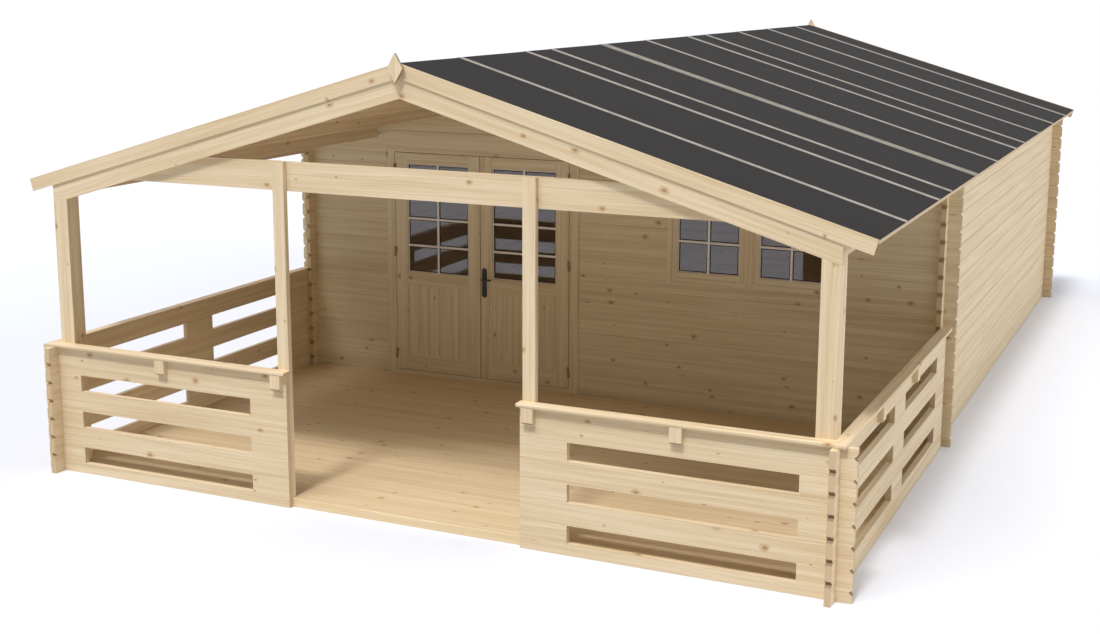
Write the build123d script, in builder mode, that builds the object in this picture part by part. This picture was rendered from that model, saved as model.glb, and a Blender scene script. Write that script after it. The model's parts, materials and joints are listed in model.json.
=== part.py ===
# Log-built garden house with a roofed veranda.
# Millimetres, +Z up, front towards -Y, origin at the centre of the footprint on the ground.
import math
import os

from build123d import *

# Logs
log_height = 135.0
log_thickness = 40.0
log_end = 100.0
groove_depth = 2.5
end_notch_depth = 20.0
side_wall_rows = 15
gable_rise_share = 1.5
balustrade_rows = 7

# House and veranda
house_width = 5710.0
house_depth = 6360.0
veranda_depth = 3330.0

# Roof
wall_plate_height = 150.5
roof_pitch = 16.4
eave_overhang = 200.0
rear_overhang = 90.0
deck_thickness = 20.0
felt_thickness = 4.0
barge_thickness = 28.0
barge_width = 92.0
rafter_thickness = 40.0
rafter_depth = 190.0
purlin_thickness = 40.0
purlin_depth = 195.0
purlin_chamfer = 6.0
purlin_place_shares = (0.224, 0.464, 0.76)
finial_thickness = 20.0
finial_width = 112.0
finial_rise = 62.0
finial_height = 187.0

# Porch frame
corner_post_size = 120.0
entry_half_width = 874.0
entry_offset = -14.0
entry_post_width = 88.0
entry_post_thickness = 40.0
tie_beam_rise = 150.0
tie_beam_depth = 195.0
tie_beam_thickness = 40.0
tie_beam_end_gap = 8.0

# Balustrades and handrails
front_slot_inner_margin = 311.0
front_slot_outer_margin = 195.0
side_bay_start = 356.0
side_bay_lead = 125.0
side_bay_pillar = 332.0
side_panel_gap = 70.0
slot_tongue = 9.0
slot_lip = 5.0
panel_top_trim = 9.0
rail_width = 82.0
rail_thickness = 24.0
rail_edge_radius = 8.0
rail_inner_reach = 10.0
bracket_width = 80.0
bracket_reach = 40.0
bracket_height = 103.0
bracket_chamfer = 8.0
front_bracket_shares = (0.031, 0.49)
side_bracket_shares = (0.3, 0.626)

# Floors
floor_board = 20.0
joist_height = 40.0
joist_width = 60.0
joist_spacing = 560.0

# Doors
door_centre = -1123.0
door_opening = 1694.0
door_jamb = 85.0
door_head_rise = 22.5
door_head_depth = 185.0
threshold_top = 95.0
frame_proud = 10.0
door_gap = 5.0
meeting_gap = 7.0
door_stop = 12.0
leaf_thickness = 42.0
leaf_outer_stile = 121.0
leaf_inner_stile = 113.0
leaf_top_rail = 95.0
leaf_lower_height = 897.0
leaf_bottom_rail = 150.0
panel_recess = 10.0
glass_thickness = 5.0
hinge_radius = 8.0
hinge_length = 90.0
hinge_play = 0.5
hinge_height_shares = (0.074, 0.547, 0.926)
handle_plate_width = 48.0
handle_plate_height = 262.0
handle_plate_thickness = 5.0
handle_plate_rise = 768.0
handle_plate_inset = 12.0
lever_rise = 166.0
lever_length = 85.0
lever_radius = 9.0
lever_reach = 45.0

# Window
window_centre = 1300.0
window_width = 1396.0
window_height = 949.0
window_drop = 3.0
window_frame_face = 42.0
window_mullion = 76.0
sash_face = 46.0
sash_setback = 8.0
sash_thickness = 36.0

# One overrun for every cut that runs past a face
overrun = 10.0

# Worked-out places
house_half = house_width / 2
inner_half = house_half - log_thickness
panel_outer = house_half + log_thickness
pitch = math.radians(roof_pitch)
roof_slope = math.tan(pitch)
cover_drop = (deck_thickness + felt_thickness) / math.cos(pitch)
felt_drop = felt_thickness / math.cos(pitch)
rafter_drop = rafter_depth / math.cos(pitch)
eave_half = house_half + eave_overhang
overall_length = log_end + veranda_depth + house_depth + rear_overhang + finial_thickness
front_y = log_end - overall_length / 2
panel_back_y = front_y + log_thickness
barge_y = panel_back_y - barge_thickness
rafter_back_y = panel_back_y + rafter_thickness
beam_back_y = rafter_back_y + tie_beam_thickness
wall_y = front_y + veranda_depth
wall_back_y = wall_y + log_thickness
rear_y = wall_y + house_depth
rear_front_y = rear_y - log_thickness
roof_back_y = rear_y + rear_overhang
deck_back_y = roof_back_y - barge_thickness
side_wall_top = side_wall_rows * log_height
gable_base = side_wall_top + gable_rise_share * log_height
plate_top = side_wall_top + wall_plate_height
ridge_height = plate_top + house_half * roof_slope + cover_drop
tie_beam_top = side_wall_top + tie_beam_rise + tie_beam_depth
side_panel_length = veranda_depth - side_panel_gap
side_bay_length = (side_panel_length - side_bay_start - 2 * side_bay_pillar) / 2
door_frame_top = gable_base + door_head_rise
door_opening_top = door_frame_top - door_head_depth
window_top = door_opening_top - window_drop
window_bottom = window_top - window_height
panel_full = balustrade_rows * log_height
panel_top = panel_full - panel_top_trim
floor_top = joist_height + floor_board
purlin_places = [share * house_half for share in purlin_place_shares]
purlin_outer = purlin_places[-1]
notch_low = purlin_outer - purlin_thickness / 2
notch_high = purlin_outer + purlin_thickness / 2
door_frame_left = door_centre - door_opening / 2 - door_jamb
door_frame_right = door_centre + door_opening / 2 + door_jamb
frame_front_y = wall_y - frame_proud
frame_back_y = wall_back_y + frame_proud
frame_depth = frame_back_y - frame_front_y
wall_reach = house_half + log_end

SIDES = ((-1, "left"), (1, "right"))


def roof_top(x):
    """Height of the felt's top face at a distance from the ridge."""
    return ridge_height - abs(x) * roof_slope


def roof_under(x):
    """Height of the roof boards' underside at a distance from the ridge."""
    return roof_top(x) - cover_drop


purlin_bottom = roof_under(purlin_outer) - purlin_depth


def front_plane(y):
    """Plane for outlines seen from the front, with its normal towards -Y."""
    return Plane.XZ.offset(-y)


def side_of(points, side):
    """Mirror outline points to the left for side -1."""
    return [(side * x, z) for x, z in points]


def joints_of(first_row, top):
    """Heights of the joints between logs, from a first joint given in rows."""
    count = int(top / log_height - first_row) + 1
    return [(first_row + row) * log_height for row in range(count)]


def groove_along_x(faces, heights, reach):
    """Cut a V-groove along X at each log joint on each face."""
    side = groove_depth * math.sqrt(2)
    with Locations(*[(0, y, z) for y in faces for z in heights]):
        Box(reach, side, side, rotation=(45, 0, 0), mode=Mode.SUBTRACT)


def groove_along_y(faces, heights, reach, centre):
    """Cut a V-groove along Y at each log joint on each face."""
    side = groove_depth * math.sqrt(2)
    with Locations(*[(x, centre, z) for x in faces for z in heights]):
        Box(side, reach, side, rotation=(0, 45, 0), mode=Mode.SUBTRACT)


def notch_end_x(ends, heights, y):
    """Cut the V between the log ends of a wall that runs along X."""
    side = end_notch_depth * math.sqrt(2)
    with Locations(*[(x, y, z) for x in ends for z in heights]):
        Box(side, log_thickness + overrun, side, rotation=(0, 45, 0), mode=Mode.SUBTRACT)


def notch_end_y(ends, heights, x):
    """Cut the V between the log ends of a wall that runs along Y."""
    side = end_notch_depth * math.sqrt(2)
    with Locations(*[(x, y, z) for y in ends for z in heights]):
        Box(log_thickness + overrun, side, side, rotation=(45, 0, 0), mode=Mode.SUBTRACT)


def cross_cuts(crossings, first_row, top):
    """Halve each log where another wall's logs pass through it."""
    heights = joints_of(first_row, top + log_height)
    with Locations(*[(x, y, z) for x, y in crossings for z in heights]):
        Box(log_thickness, log_thickness, log_height / 2, mode=Mode.SUBTRACT)


os.makedirs("parts", exist_ok=True)

front_wall_mid_y = wall_y + log_thickness / 2
rear_wall_mid_y = rear_y - log_thickness / 2
side_wall_mid_x = house_half - log_thickness / 2
side_joints = joints_of(1, side_wall_top)
front_joints = joints_of(0.5, ridge_height)
wall_span = 2 * wall_reach + overrun

# Side walls: whole logs from the ground, crossed by the front and back walls
side_wall_front = wall_y - log_end
side_wall_back = rear_y + log_end
side_wall_length = side_wall_back - side_wall_front
for side, word in SIDES:
    with BuildPart() as side_wall:
        with Locations((side * side_wall_mid_x, side_wall_front, 0)):
            Box(
                log_thickness,
                side_wall_length,
                side_wall_top,
                align=(Align.CENTER, Align.MIN, Align.MIN),
            )
        faces = (side * house_half, side * inner_half)
        groove_along_y(faces, side_joints, side_wall_length + overrun, (side_wall_front + side_wall_back) / 2)
        notch_end_y((side_wall_front, side_wall_back), side_joints, side * side_wall_mid_x)
        crossings = [(side * side_wall_mid_x, y) for y in (front_wall_mid_y, rear_wall_mid_y)]
        cross_cuts(crossings, 0, side_wall_top)
    side_wall.part.label = f"{word}_wall"
    export_step(side_wall.part, f"parts/{word}_wall.step")

# Wall plates: the top log of each side wall, run out over the veranda to the corner post
plate_length = deck_back_y - rafter_back_y
with BuildPart() as wall_plates:
    outline = [
        (inner_half, side_wall_top),
        (house_half, side_wall_top),
        (house_half, roof_under(house_half)),
        (inner_half, roof_under(inner_half)),
    ]
    with BuildSketch(front_plane(rafter_back_y)):
        for side, word in SIDES:
            Polygon(*side_of(outline, side), align=None)
    extrude(amount=-plate_length)
    for side, word in SIDES:
        crossings = [(side * side_wall_mid_x, y) for y in (front_wall_mid_y, rear_wall_mid_y)]
        cross_cuts(crossings, 0, ridge_height)
wall_plates.part.label = "wall_plates"
export_step(wall_plates.part, "parts/wall_plates.step")

# Front wall: a half log at the ground, split beside and over the doorway
shoulder = [
    (wall_reach, 0),
    (wall_reach, roof_under(wall_reach)),
    (notch_high, roof_under(notch_high)),
    (notch_high, purlin_bottom),
    (notch_low, purlin_bottom),
    (notch_low, gable_base),
]
with BuildPart() as front_wall_left:
    with BuildSketch(front_plane(wall_y)):
        Polygon(*side_of(shoulder, -1), (door_frame_left, gable_base), (door_frame_left, 0), align=None)
    extrude(amount=-log_thickness)
    groove_along_x((wall_y, wall_back_y), front_joints, wall_span)
    notch_end_x((-wall_reach,), front_joints, front_wall_mid_y)
    cross_cuts([(-side_wall_mid_x, front_wall_mid_y)], 0.5, side_wall_top)
front_wall_left.part.label = "front_wall_left"
export_step(front_wall_left.part, "parts/front_wall_left.step")

with BuildPart() as front_wall_right:
    with BuildSketch(front_plane(wall_y)):
        Polygon(*shoulder, (door_frame_right, gable_base), (door_frame_right, 0), align=None)
        with Locations((window_centre, (window_bottom + window_top) / 2)):
            Rectangle(window_width, window_top - window_bottom, mode=Mode.SUBTRACT)
    extrude(amount=-log_thickness)
    groove_along_x((wall_y, wall_back_y), front_joints, wall_span)
    notch_end_x((wall_reach,), front_joints, front_wall_mid_y)
    cross_cuts([(side_wall_mid_x, front_wall_mid_y)], 0.5, side_wall_top)
front_wall_right.part.label = "front_wall_right"
export_step(front_wall_right.part, "parts/front_wall_right.step")

# Back wall: the same log courses, with no opening
with BuildPart() as back_wall:
    with BuildSketch(front_plane(rear_front_y)):
        Polygon(*shoulder, *reversed(side_of(shoulder, -1)), align=None)
    extrude(amount=-log_thickness)
    groove_along_x((rear_front_y, rear_y), front_joints, wall_span)
    notch_end_x((-wall_reach, wall_reach), front_joints, rear_wall_mid_y)
    cross_cuts([(side * side_wall_mid_x, rear_wall_mid_y) for side, word in SIDES], 0.5, side_wall_top)
back_wall.part.label = "back_wall"
export_step(back_wall.part, "parts/back_wall.step")

# Gables: logs between the outer purlins, notched for the other purlins and the ridge
gable_outline = [
    (-notch_low, gable_base),
    (notch_low, gable_base),
    (notch_low, roof_under(notch_low)),
    (0, roof_under(0)),
    (-notch_low, roof_under(notch_low)),
]
for place_y, word in ((wall_y, "front"), (rear_front_y, "back")):
    with BuildPart() as gable:
        with BuildSketch(front_plane(place_y)):
            Polygon(*gable_outline, align=None)
            inner_places = purlin_places[:-1]
            for purlin_x in (0, *inner_places, *[-place for place in inner_places]):
                with Locations((purlin_x, roof_under(purlin_x) - purlin_depth)):
                    Rectangle(
                        purlin_thickness,
                        purlin_depth + log_height,
                        align=(Align.CENTER, Align.MIN),
                        mode=Mode.SUBTRACT,
                    )
            if word == "front":
                with Locations((door_frame_left, gable_base)):
                    Rectangle(
                        door_frame_right - door_frame_left,
                        door_frame_top - gable_base,
                        align=(Align.MIN, Align.MIN),
                        mode=Mode.SUBTRACT,
                    )
        extrude(amount=-log_thickness)
        groove_along_x((place_y, place_y + log_thickness), front_joints, wall_span)
    gable.part.label = f"{word}_gable"
    export_step(gable.part, f"parts/{word}_gable.step")

# Purlins: level boards on edge with their tops bevelled to the roof
half_purlin = purlin_thickness / 2
with BuildPart() as ridge_purlin:
    with BuildSketch(front_plane(rafter_back_y)):
        ridge_bottom = roof_under(0) - purlin_depth
        Polygon(
            (purlin_chamfer - half_purlin, ridge_bottom),
            (half_purlin - purlin_chamfer, ridge_bottom),
            (half_purlin, ridge_bottom + purlin_chamfer),
            (half_purlin, roof_under(half_purlin)),
            (0, roof_under(0)),
            (-half_purlin, roof_under(half_purlin)),
            (-half_purlin, ridge_bottom + purlin_chamfer),
            align=None,
        )
    extrude(amount=-(deck_back_y - rafter_back_y))
ridge_purlin.part.label = "ridge_purlin"
export_step(ridge_purlin.part, "parts/ridge_purlin.step")

with BuildPart() as purlins:
    for purlin_x in purlin_places:
        start_y = beam_back_y if purlin_x == purlin_outer else rafter_back_y
        low_z = roof_under(purlin_x) - purlin_depth
        outline = [
            (purlin_x - half_purlin + purlin_chamfer, low_z),
            (purlin_x + half_purlin - purlin_chamfer, low_z),
            (purlin_x + half_purlin, low_z + purlin_chamfer),
            (purlin_x + half_purlin, roof_under(purlin_x + half_purlin)),
            (purlin_x - half_purlin, roof_under(purlin_x - half_purlin)),
            (purlin_x - half_purlin, low_z + purlin_chamfer),
        ]
        with BuildSketch(front_plane(start_y)):
            for side, word in SIDES:
                Polygon(*side_of(outline, side), align=None)
        extrude(amount=-(deck_back_y - start_y))
purlins.part.label = "purlins"
export_step(purlins.part, "parts/purlins.step")

# Roof boards and felt, one slope each side of the ridge
deck_length = deck_back_y - panel_back_y
for side, word in SIDES:
    with BuildPart() as roof_deck:
        outline = [
            (0, roof_under(0)),
            (eave_half, roof_under(eave_half)),
            (eave_half, roof_top(eave_half) - felt_drop),
            (0, roof_top(0) - felt_drop),
        ]
        with BuildSketch(front_plane(panel_back_y)):
            Polygon(*side_of(outline, side), align=None)
        extrude(amount=-deck_length)
    roof_deck.part.label = f"roof_deck_{word}"
    export_step(roof_deck.part, f"parts/roof_deck_{word}.step")

    with BuildPart() as roof_felt:
        outline = [
            (0, roof_top(0) - felt_drop),
            (eave_half, roof_top(eave_half) - felt_drop),
            (eave_half, roof_top(eave_half)),
            (0, roof_top(0)),
        ]
        with BuildSketch(front_plane(panel_back_y)):
            Polygon(*side_of(outline, side), align=None)
        extrude(amount=-deck_length)
    roof_felt.part.label = f"roof_felt_{word}"
    export_step(roof_felt.part, f"parts/roof_felt_{word}.step")

# Barge boards: mitred at the ridge and cut square at the eaves
barge_outline = [
    (0, roof_top(0)),
    (eave_half, roof_top(eave_half)),
    (eave_half - barge_width * math.sin(pitch), roof_top(eave_half) - barge_width * math.cos(pitch)),
    (0, roof_top(0) - barge_width / math.cos(pitch)),
]
for place_y, place in ((barge_y, "front"), (deck_back_y, "back")):
    for side, word in SIDES:
        with BuildPart() as barge:
            with BuildSketch(front_plane(place_y)):
                Polygon(*side_of(barge_outline, side), align=None)
            extrude(amount=-barge_thickness)
        barge.part.label = f"{place}_barge_{word}"
        export_step(barge.part, f"parts/{place}_barge_{word}.step")

# Finials: diamond plates over the ridge mitres
finial_top = ridge_height + finial_rise
with BuildPart() as finials:
    for place_y in (barge_y - finial_thickness, roof_back_y):
        with BuildSketch(front_plane(place_y)):
            Polygon(
                (0, finial_top),
                (finial_width / 2, finial_top - finial_height / 2),
                (0, finial_top - finial_height),
                (-finial_width / 2, finial_top - finial_height / 2),
                align=None,
            )
        extrude(amount=-finial_thickness)
finials.part.label = "finials"
export_step(finials.part, "parts/finials.step")

# Front rafters: deep boards under the roof edge, carried by the corner posts
for side, word in SIDES:
    with BuildPart() as rafter:
        outline = [
            (0, roof_under(0)),
            (house_half, roof_under(house_half)),
            (house_half, roof_under(house_half) - rafter_drop),
            (0, roof_under(0) - rafter_drop),
        ]
        with BuildSketch(front_plane(panel_back_y)):
            Polygon(*side_of(outline, side), align=None)
        extrude(amount=-rafter_thickness)
    rafter.part.label = f"front_rafter_{word}"
    export_step(rafter.part, f"parts/front_rafter_{word}.step")

# Tie beam behind the rafters and the entry posts
beam_bottom = tie_beam_top - tie_beam_depth
beam_half = inner_half - tie_beam_end_gap
beam_shoulder = (roof_under(0) - tie_beam_top) / roof_slope
with BuildPart() as tie_beam:
    with BuildSketch(front_plane(rafter_back_y)):
        Polygon(
            (-beam_half, beam_bottom),
            (beam_half, beam_bottom),
            (beam_half, roof_under(beam_half)),
            (beam_shoulder, tie_beam_top),
            (-beam_shoulder, tie_beam_top),
            (-beam_half, roof_under(beam_half)),
            align=None,
        )
    extrude(amount=-tie_beam_thickness)
tie_beam.part.label = "tie_beam"
export_step(tie_beam.part, "parts/tie_beam.step")

# Corner posts: square posts under the wall plates, rebated at the top for the rafter
post_inner = house_half - corner_post_size
post_mid = house_half - corner_post_size / 2
with BuildPart() as corner_posts:
    with BuildSketch(Plane.XY.offset(floor_top)):
        with Locations((-post_mid, panel_back_y), (post_mid, panel_back_y)):
            Rectangle(corner_post_size, corner_post_size, align=(Align.CENTER, Align.MIN))
    extrude(amount=side_wall_top - floor_top)
    rebate = [
        (post_inner, roof_under(post_inner) - rafter_drop),
        (house_half, roof_under(house_half) - rafter_drop),
        (house_half, side_wall_top),
        (post_inner, side_wall_top),
    ]
    with BuildSketch(front_plane(panel_back_y)):
        for side, word in SIDES:
            Polygon(*side_of(rebate, side), align=None)
    extrude(amount=-rafter_thickness, mode=Mode.SUBTRACT)
corner_posts.part.label = "corner_posts"
export_step(corner_posts.part, "parts/corner_posts.step")

# Entry posts: planks on each side of the way in, up to the top of the tie beam
entry_posts_at = [
    side * (entry_half_width + entry_post_width / 2) + entry_offset for side, word in SIDES
]
with BuildPart() as entry_posts:
    with BuildSketch(Plane.XY.offset(floor_top)):
        with Locations(*[(x, panel_back_y) for x in entry_posts_at]):
            Rectangle(entry_post_width, entry_post_thickness, align=(Align.CENTER, Align.MIN))
    extrude(amount=tie_beam_top - floor_top)
entry_posts.part.label = "entry_posts"
export_step(entry_posts.part, "parts/entry_posts.step")

# Balustrades: the same logs, with every second one cut away between the ends
front_panel_joints = joints_of(0.5, panel_full)
side_panel_joints = joints_of(1, panel_full - log_height)
slot_height = log_height - slot_tongue - slot_lip
panel_mid_x = house_half + log_thickness / 2
panel_mid_y = front_y + log_thickness / 2
panel_reach = panel_outer + log_end
slot_start = entry_half_width + front_slot_inner_margin
slot_end = house_half - front_slot_outer_margin
for side, word in SIDES:
    panel_end = entry_half_width + side * entry_offset
    with BuildPart() as front_panel:
        with BuildSketch(front_plane(front_y)):
            with Locations((side * (panel_end + panel_reach) / 2, 0)):
                Rectangle(panel_reach - panel_end, panel_top, align=(Align.CENTER, Align.MIN))
            for joint in front_panel_joints[0:-1:2]:
                with Locations((side * (slot_start + slot_end) / 2, joint + slot_tongue)):
                    Rectangle(
                        slot_end - slot_start,
                        slot_height,
                        align=(Align.CENTER, Align.MIN),
                        mode=Mode.SUBTRACT,
                    )
        extrude(amount=-log_thickness)
        groove_along_x((front_y, panel_back_y), front_panel_joints, 2 * panel_reach + overrun)
        notch_end_x((side * panel_reach,), front_panel_joints, panel_mid_y)
        cross_cuts([(side * panel_mid_x, panel_mid_y)], 0.5, panel_full)
    front_panel.part.label = f"front_balustrade_{word}"
    export_step(front_panel.part, f"parts/front_balustrade_{word}.step")

side_panel_front = front_y - log_end
side_panel_back = front_y + side_panel_length
side_panel_mid_y = (side_panel_front + side_panel_back) / 2
bays = (
    (side_bay_start - side_bay_lead, side_bay_length + side_bay_lead),
    (side_bay_start + side_bay_length + side_bay_pillar, side_bay_length),
)
for side, word in SIDES:
    with BuildPart() as side_panel:
        with BuildSketch(Plane.YZ.offset(side * panel_mid_x)):
            with Locations((side_panel_mid_y, 0)):
                Rectangle(side_panel_back - side_panel_front, panel_top, align=(Align.CENTER, Align.MIN))
            for joint in side_panel_joints[0::2]:
                for bay_start, bay_length in bays:
                    with Locations((front_y + bay_start, joint + slot_tongue)):
                        Rectangle(
                            bay_length,
                            slot_height,
                            align=(Align.MIN, Align.MIN),
                            mode=Mode.SUBTRACT,
                        )
        extrude(amount=log_thickness / 2, both=True)
        faces = (side * house_half, side * panel_outer)
        groove_along_y(faces, side_panel_joints, side_panel_back - side_panel_front + overrun, side_panel_mid_y)
        notch_end_y((side_panel_front,), side_panel_joints, side * panel_mid_x)
        cross_cuts([(side * panel_mid_x, panel_mid_y)], 0, panel_full)
    side_panel.part.label = f"side_balustrade_{word}"
    export_step(side_panel.part, f"parts/side_balustrade_{word}.step")

# Handrails: flat boards that overhang outwards, mitred at the front corners
rail_outer = house_half + rail_width
rail_front_y = panel_back_y - rail_width
for side, word in SIDES:
    rail_inner_end = entry_half_width + side * entry_offset - rail_inner_reach
    with BuildPart() as front_rail:
        outline = [
            (rail_inner_end, rail_front_y),
            (rail_outer, rail_front_y),
            (house_half, panel_back_y),
            (rail_inner_end, panel_back_y),
        ]
        with BuildSketch(Plane.XY.offset(panel_top)):
            Polygon(*side_of(outline, side), align=None)
        extrude(amount=rail_thickness)
        outer_edges = front_rail.edges().filter_by(Axis.X).group_by(Axis.Y)[0]
        fillet(outer_edges, radius=rail_edge_radius)
    front_rail.part.label = f"front_rail_{word}"
    export_step(front_rail.part, f"parts/front_rail_{word}.step")

    with BuildPart() as side_rail:
        outline = [
            (rail_outer, rail_front_y),
            (rail_outer, side_panel_back),
            (house_half, side_panel_back),
            (house_half, panel_back_y),
        ]
        with BuildSketch(Plane.XY.offset(panel_top)):
            Polygon(*side_of(outline, side), align=None)
        extrude(amount=rail_thickness)
        outer_edges = side_rail.edges().filter_by(Axis.Y).sort_by(Axis.X)[-2:]
        if side < 0:
            outer_edges = side_rail.edges().filter_by(Axis.Y).sort_by(Axis.X)[:2]
        fillet(outer_edges, radius=rail_edge_radius)
    side_rail.part.label = f"side_rail_{word}"
    export_step(side_rail.part, f"parts/side_rail_{word}.step")

# Rail brackets: chamfered blocks on the outside faces, under the handrails
with BuildPart() as rail_brackets:
    profile = [
        (0, panel_top),
        (bracket_reach, panel_top),
        (bracket_reach, panel_top - bracket_height + bracket_chamfer),
        (bracket_reach - bracket_chamfer, panel_top - bracket_height),
        (0, panel_top - bracket_height),
    ]
    for side, word in SIDES:
        for share in front_bracket_shares:
            panel_end = entry_half_width + side * entry_offset
            place = panel_end + share * (panel_reach - panel_end)
            with BuildSketch(Plane.YZ.offset(side * place)):
                Polygon(*[(front_y - reach, z) for reach, z in profile], align=None)
            extrude(amount=bracket_width / 2, both=True)
        for share in side_bracket_shares:
            with BuildSketch(front_plane(front_y + share * side_panel_length)):
                Polygon(*[(side * (panel_outer + reach), z) for reach, z in profile], align=None)
            extrude(amount=bracket_width / 2, both=True)
rail_brackets.part.label = "rail_brackets"
export_step(rail_brackets.part, "parts/rail_brackets.step")

# Floors: boards across joists, with a sill under the front edge of the veranda
veranda_length = frame_front_y - panel_back_y
log_end_notch = log_end + frame_proud
with BuildPart() as veranda_floor:
    with BuildSketch(Plane.XY.offset(joist_height)):
        with Locations((0, panel_back_y)):
            Rectangle(house_width, veranda_length, align=(Align.CENTER, Align.MIN))
        with Locations(*[(side * side_wall_mid_x, wall_y) for side, word in SIDES]):
            Rectangle(
                log_thickness,
                log_end_notch,
                align=(Align.CENTER, Align.MAX),
                mode=Mode.SUBTRACT,
            )
    extrude(amount=floor_board)
    with BuildSketch():
        with Locations((0, panel_back_y)):
            Rectangle(house_width, joist_width, align=(Align.CENTER, Align.MIN))
    extrude(amount=joist_height)
veranda_floor.part.label = "veranda_floor"
export_step(veranda_floor.part, "parts/veranda_floor.step")

house_floor_front = frame_back_y
house_floor_back = rear_front_y - frame_proud
with BuildPart() as house_floor:
    with BuildSketch(Plane.XY.offset(joist_height)):
        with Locations((0, house_floor_front)):
            Rectangle(
                2 * (inner_half - frame_proud),
                house_floor_back - house_floor_front,
                align=(Align.CENTER, Align.MIN),
            )
    extrude(amount=floor_board)
house_floor.part.label = "house_floor"
export_step(house_floor.part, "parts/house_floor.step")

joist_count = 2 * int((inner_half - log_end) / joist_spacing) + 1
joist_runs = (
    (panel_back_y + joist_width, veranda_length - joist_width),
    (house_floor_front, house_floor_back - house_floor_front),
)
with BuildPart() as floor_joists:
    with BuildSketch():
        for start_y, length in joist_runs:
            with Locations((0, start_y + length / 2)):
                with GridLocations(joist_spacing, 0, joist_count, 1):
                    Rectangle(joist_width, length)
    extrude(amount=joist_height)
floor_joists.part.label = "floor_joists"
export_step(floor_joists.part, "parts/floor_joists.step")

# Door frame: jambs with a stop behind the leaves, between a threshold and a head
stop_y = frame_front_y + leaf_thickness + door_gap
stop_depth = frame_back_y - stop_y
opening_half = door_opening / 2
frame_width = door_opening + 2 * door_jamb
with BuildPart() as door_jambs:
    with BuildSketch(Plane.XY.offset(threshold_top)):
        for side, word in SIDES:
            jamb = [
                (opening_half + door_jamb, frame_front_y),
                (opening_half + door_jamb, frame_back_y),
                (opening_half - door_stop, frame_back_y),
                (opening_half - door_stop, stop_y),
                (opening_half, stop_y),
                (opening_half, frame_front_y),
            ]
            Polygon(*[(door_centre + side * x, y) for x, y in jamb], align=None)
    extrude(amount=door_opening_top - threshold_top)
door_jambs.part.label = "door_jambs"
export_step(door_jambs.part, "parts/door_jambs.step")

frame_rails = (
    ("door_threshold", 0, threshold_top, threshold_top + door_stop),
    ("door_head", door_frame_top, door_opening_top, door_opening_top - door_stop),
)
for node, outer_z, opening_z, stop_z in frame_rails:
    with BuildPart() as frame_rail:
        with BuildSketch(front_plane(frame_front_y)):
            with Locations((door_centre, (outer_z + opening_z) / 2)):
                Rectangle(frame_width, abs(opening_z - outer_z))
        extrude(amount=-frame_depth)
        with BuildSketch(front_plane(stop_y)):
            with Locations((door_centre, (opening_z + stop_z) / 2)):
                Rectangle(door_opening - 2 * door_stop, door_stop)
        extrude(amount=-stop_depth)
    frame_rail.part.label = node
    export_step(frame_rail.part, f"parts/{node}.step")

# Door leaves: glazed above, boarded below, each on three hinges
leaf_width = (door_opening - 2 * door_gap - meeting_gap) / 2
leaf_bottom = threshold_top + door_gap
leaf_top = door_opening_top - door_gap
leaf_glass_bottom = leaf_bottom + leaf_lower_height
hinge_heights = [leaf_bottom + share * (leaf_top - leaf_bottom) for share in hinge_height_shares]
glass_top = leaf_top - leaf_top_rail
glass_width = leaf_width - leaf_outer_stile - leaf_inner_stile
hinge_y = frame_front_y - hinge_radius
barrel = hinge_length / 2 - hinge_play / 2
for side, word in SIDES:
    leaf_outer = door_opening / 2 - door_gap
    glass_centre = leaf_outer - leaf_outer_stile - glass_width / 2
    hinge_x = door_centre + side * (door_opening / 2 - door_gap / 2)
    with BuildPart() as door_leaf:
        with BuildSketch(front_plane(frame_front_y)):
            with Locations((door_centre + side * (leaf_outer - leaf_width / 2), leaf_bottom)):
                Rectangle(leaf_width, leaf_top - leaf_bottom, align=(Align.CENTER, Align.MIN))
            with Locations((door_centre + side * glass_centre, leaf_glass_bottom)):
                Rectangle(
                    glass_width,
                    glass_top - leaf_glass_bottom,
                    align=(Align.CENTER, Align.MIN),
                    mode=Mode.SUBTRACT,
                )
        extrude(amount=-leaf_thickness)
        lower_bottom = leaf_bottom + leaf_bottom_rail
        lower_top = leaf_glass_bottom - leaf_outer_stile
        for recess_y in (frame_front_y, frame_front_y + leaf_thickness - panel_recess):
            with BuildSketch(front_plane(recess_y)):
                with Locations((door_centre + side * glass_centre, lower_bottom)):
                    Rectangle(glass_width, lower_top - lower_bottom, align=(Align.CENTER, Align.MIN))
            extrude(amount=-panel_recess, mode=Mode.SUBTRACT)
    door_leaf.part.label = f"door_leaf_{word}"
    export_step(door_leaf.part, f"parts/door_leaf_{word}.step")

    with BuildPart() as door_glass:
        with BuildSketch(front_plane(frame_front_y + (leaf_thickness - glass_thickness) / 2)):
            with Locations((door_centre + side * glass_centre, leaf_glass_bottom)):
                Rectangle(glass_width, glass_top - leaf_glass_bottom, align=(Align.CENTER, Align.MIN))
        extrude(amount=-glass_thickness)
    door_glass.part.label = f"door_glass_{word}"
    export_step(door_glass.part, f"parts/door_glass_{word}.step")

    with BuildPart() as leaf_hinges:
        for height in hinge_heights:
            with BuildSketch(Plane.XY.offset(height + hinge_play / 2)):
                with Locations((hinge_x, hinge_y)):
                    Circle(hinge_radius)
                with Locations((hinge_x - side * hinge_radius, frame_front_y)):
                    Rectangle(hinge_radius, hinge_radius, align=(Align.CENTER, Align.MAX))
            extrude(amount=barrel)
    leaf_hinges.part.label = f"leaf_hinges_{word}"
    export_step(leaf_hinges.part, f"parts/leaf_hinges_{word}.step")

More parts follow.
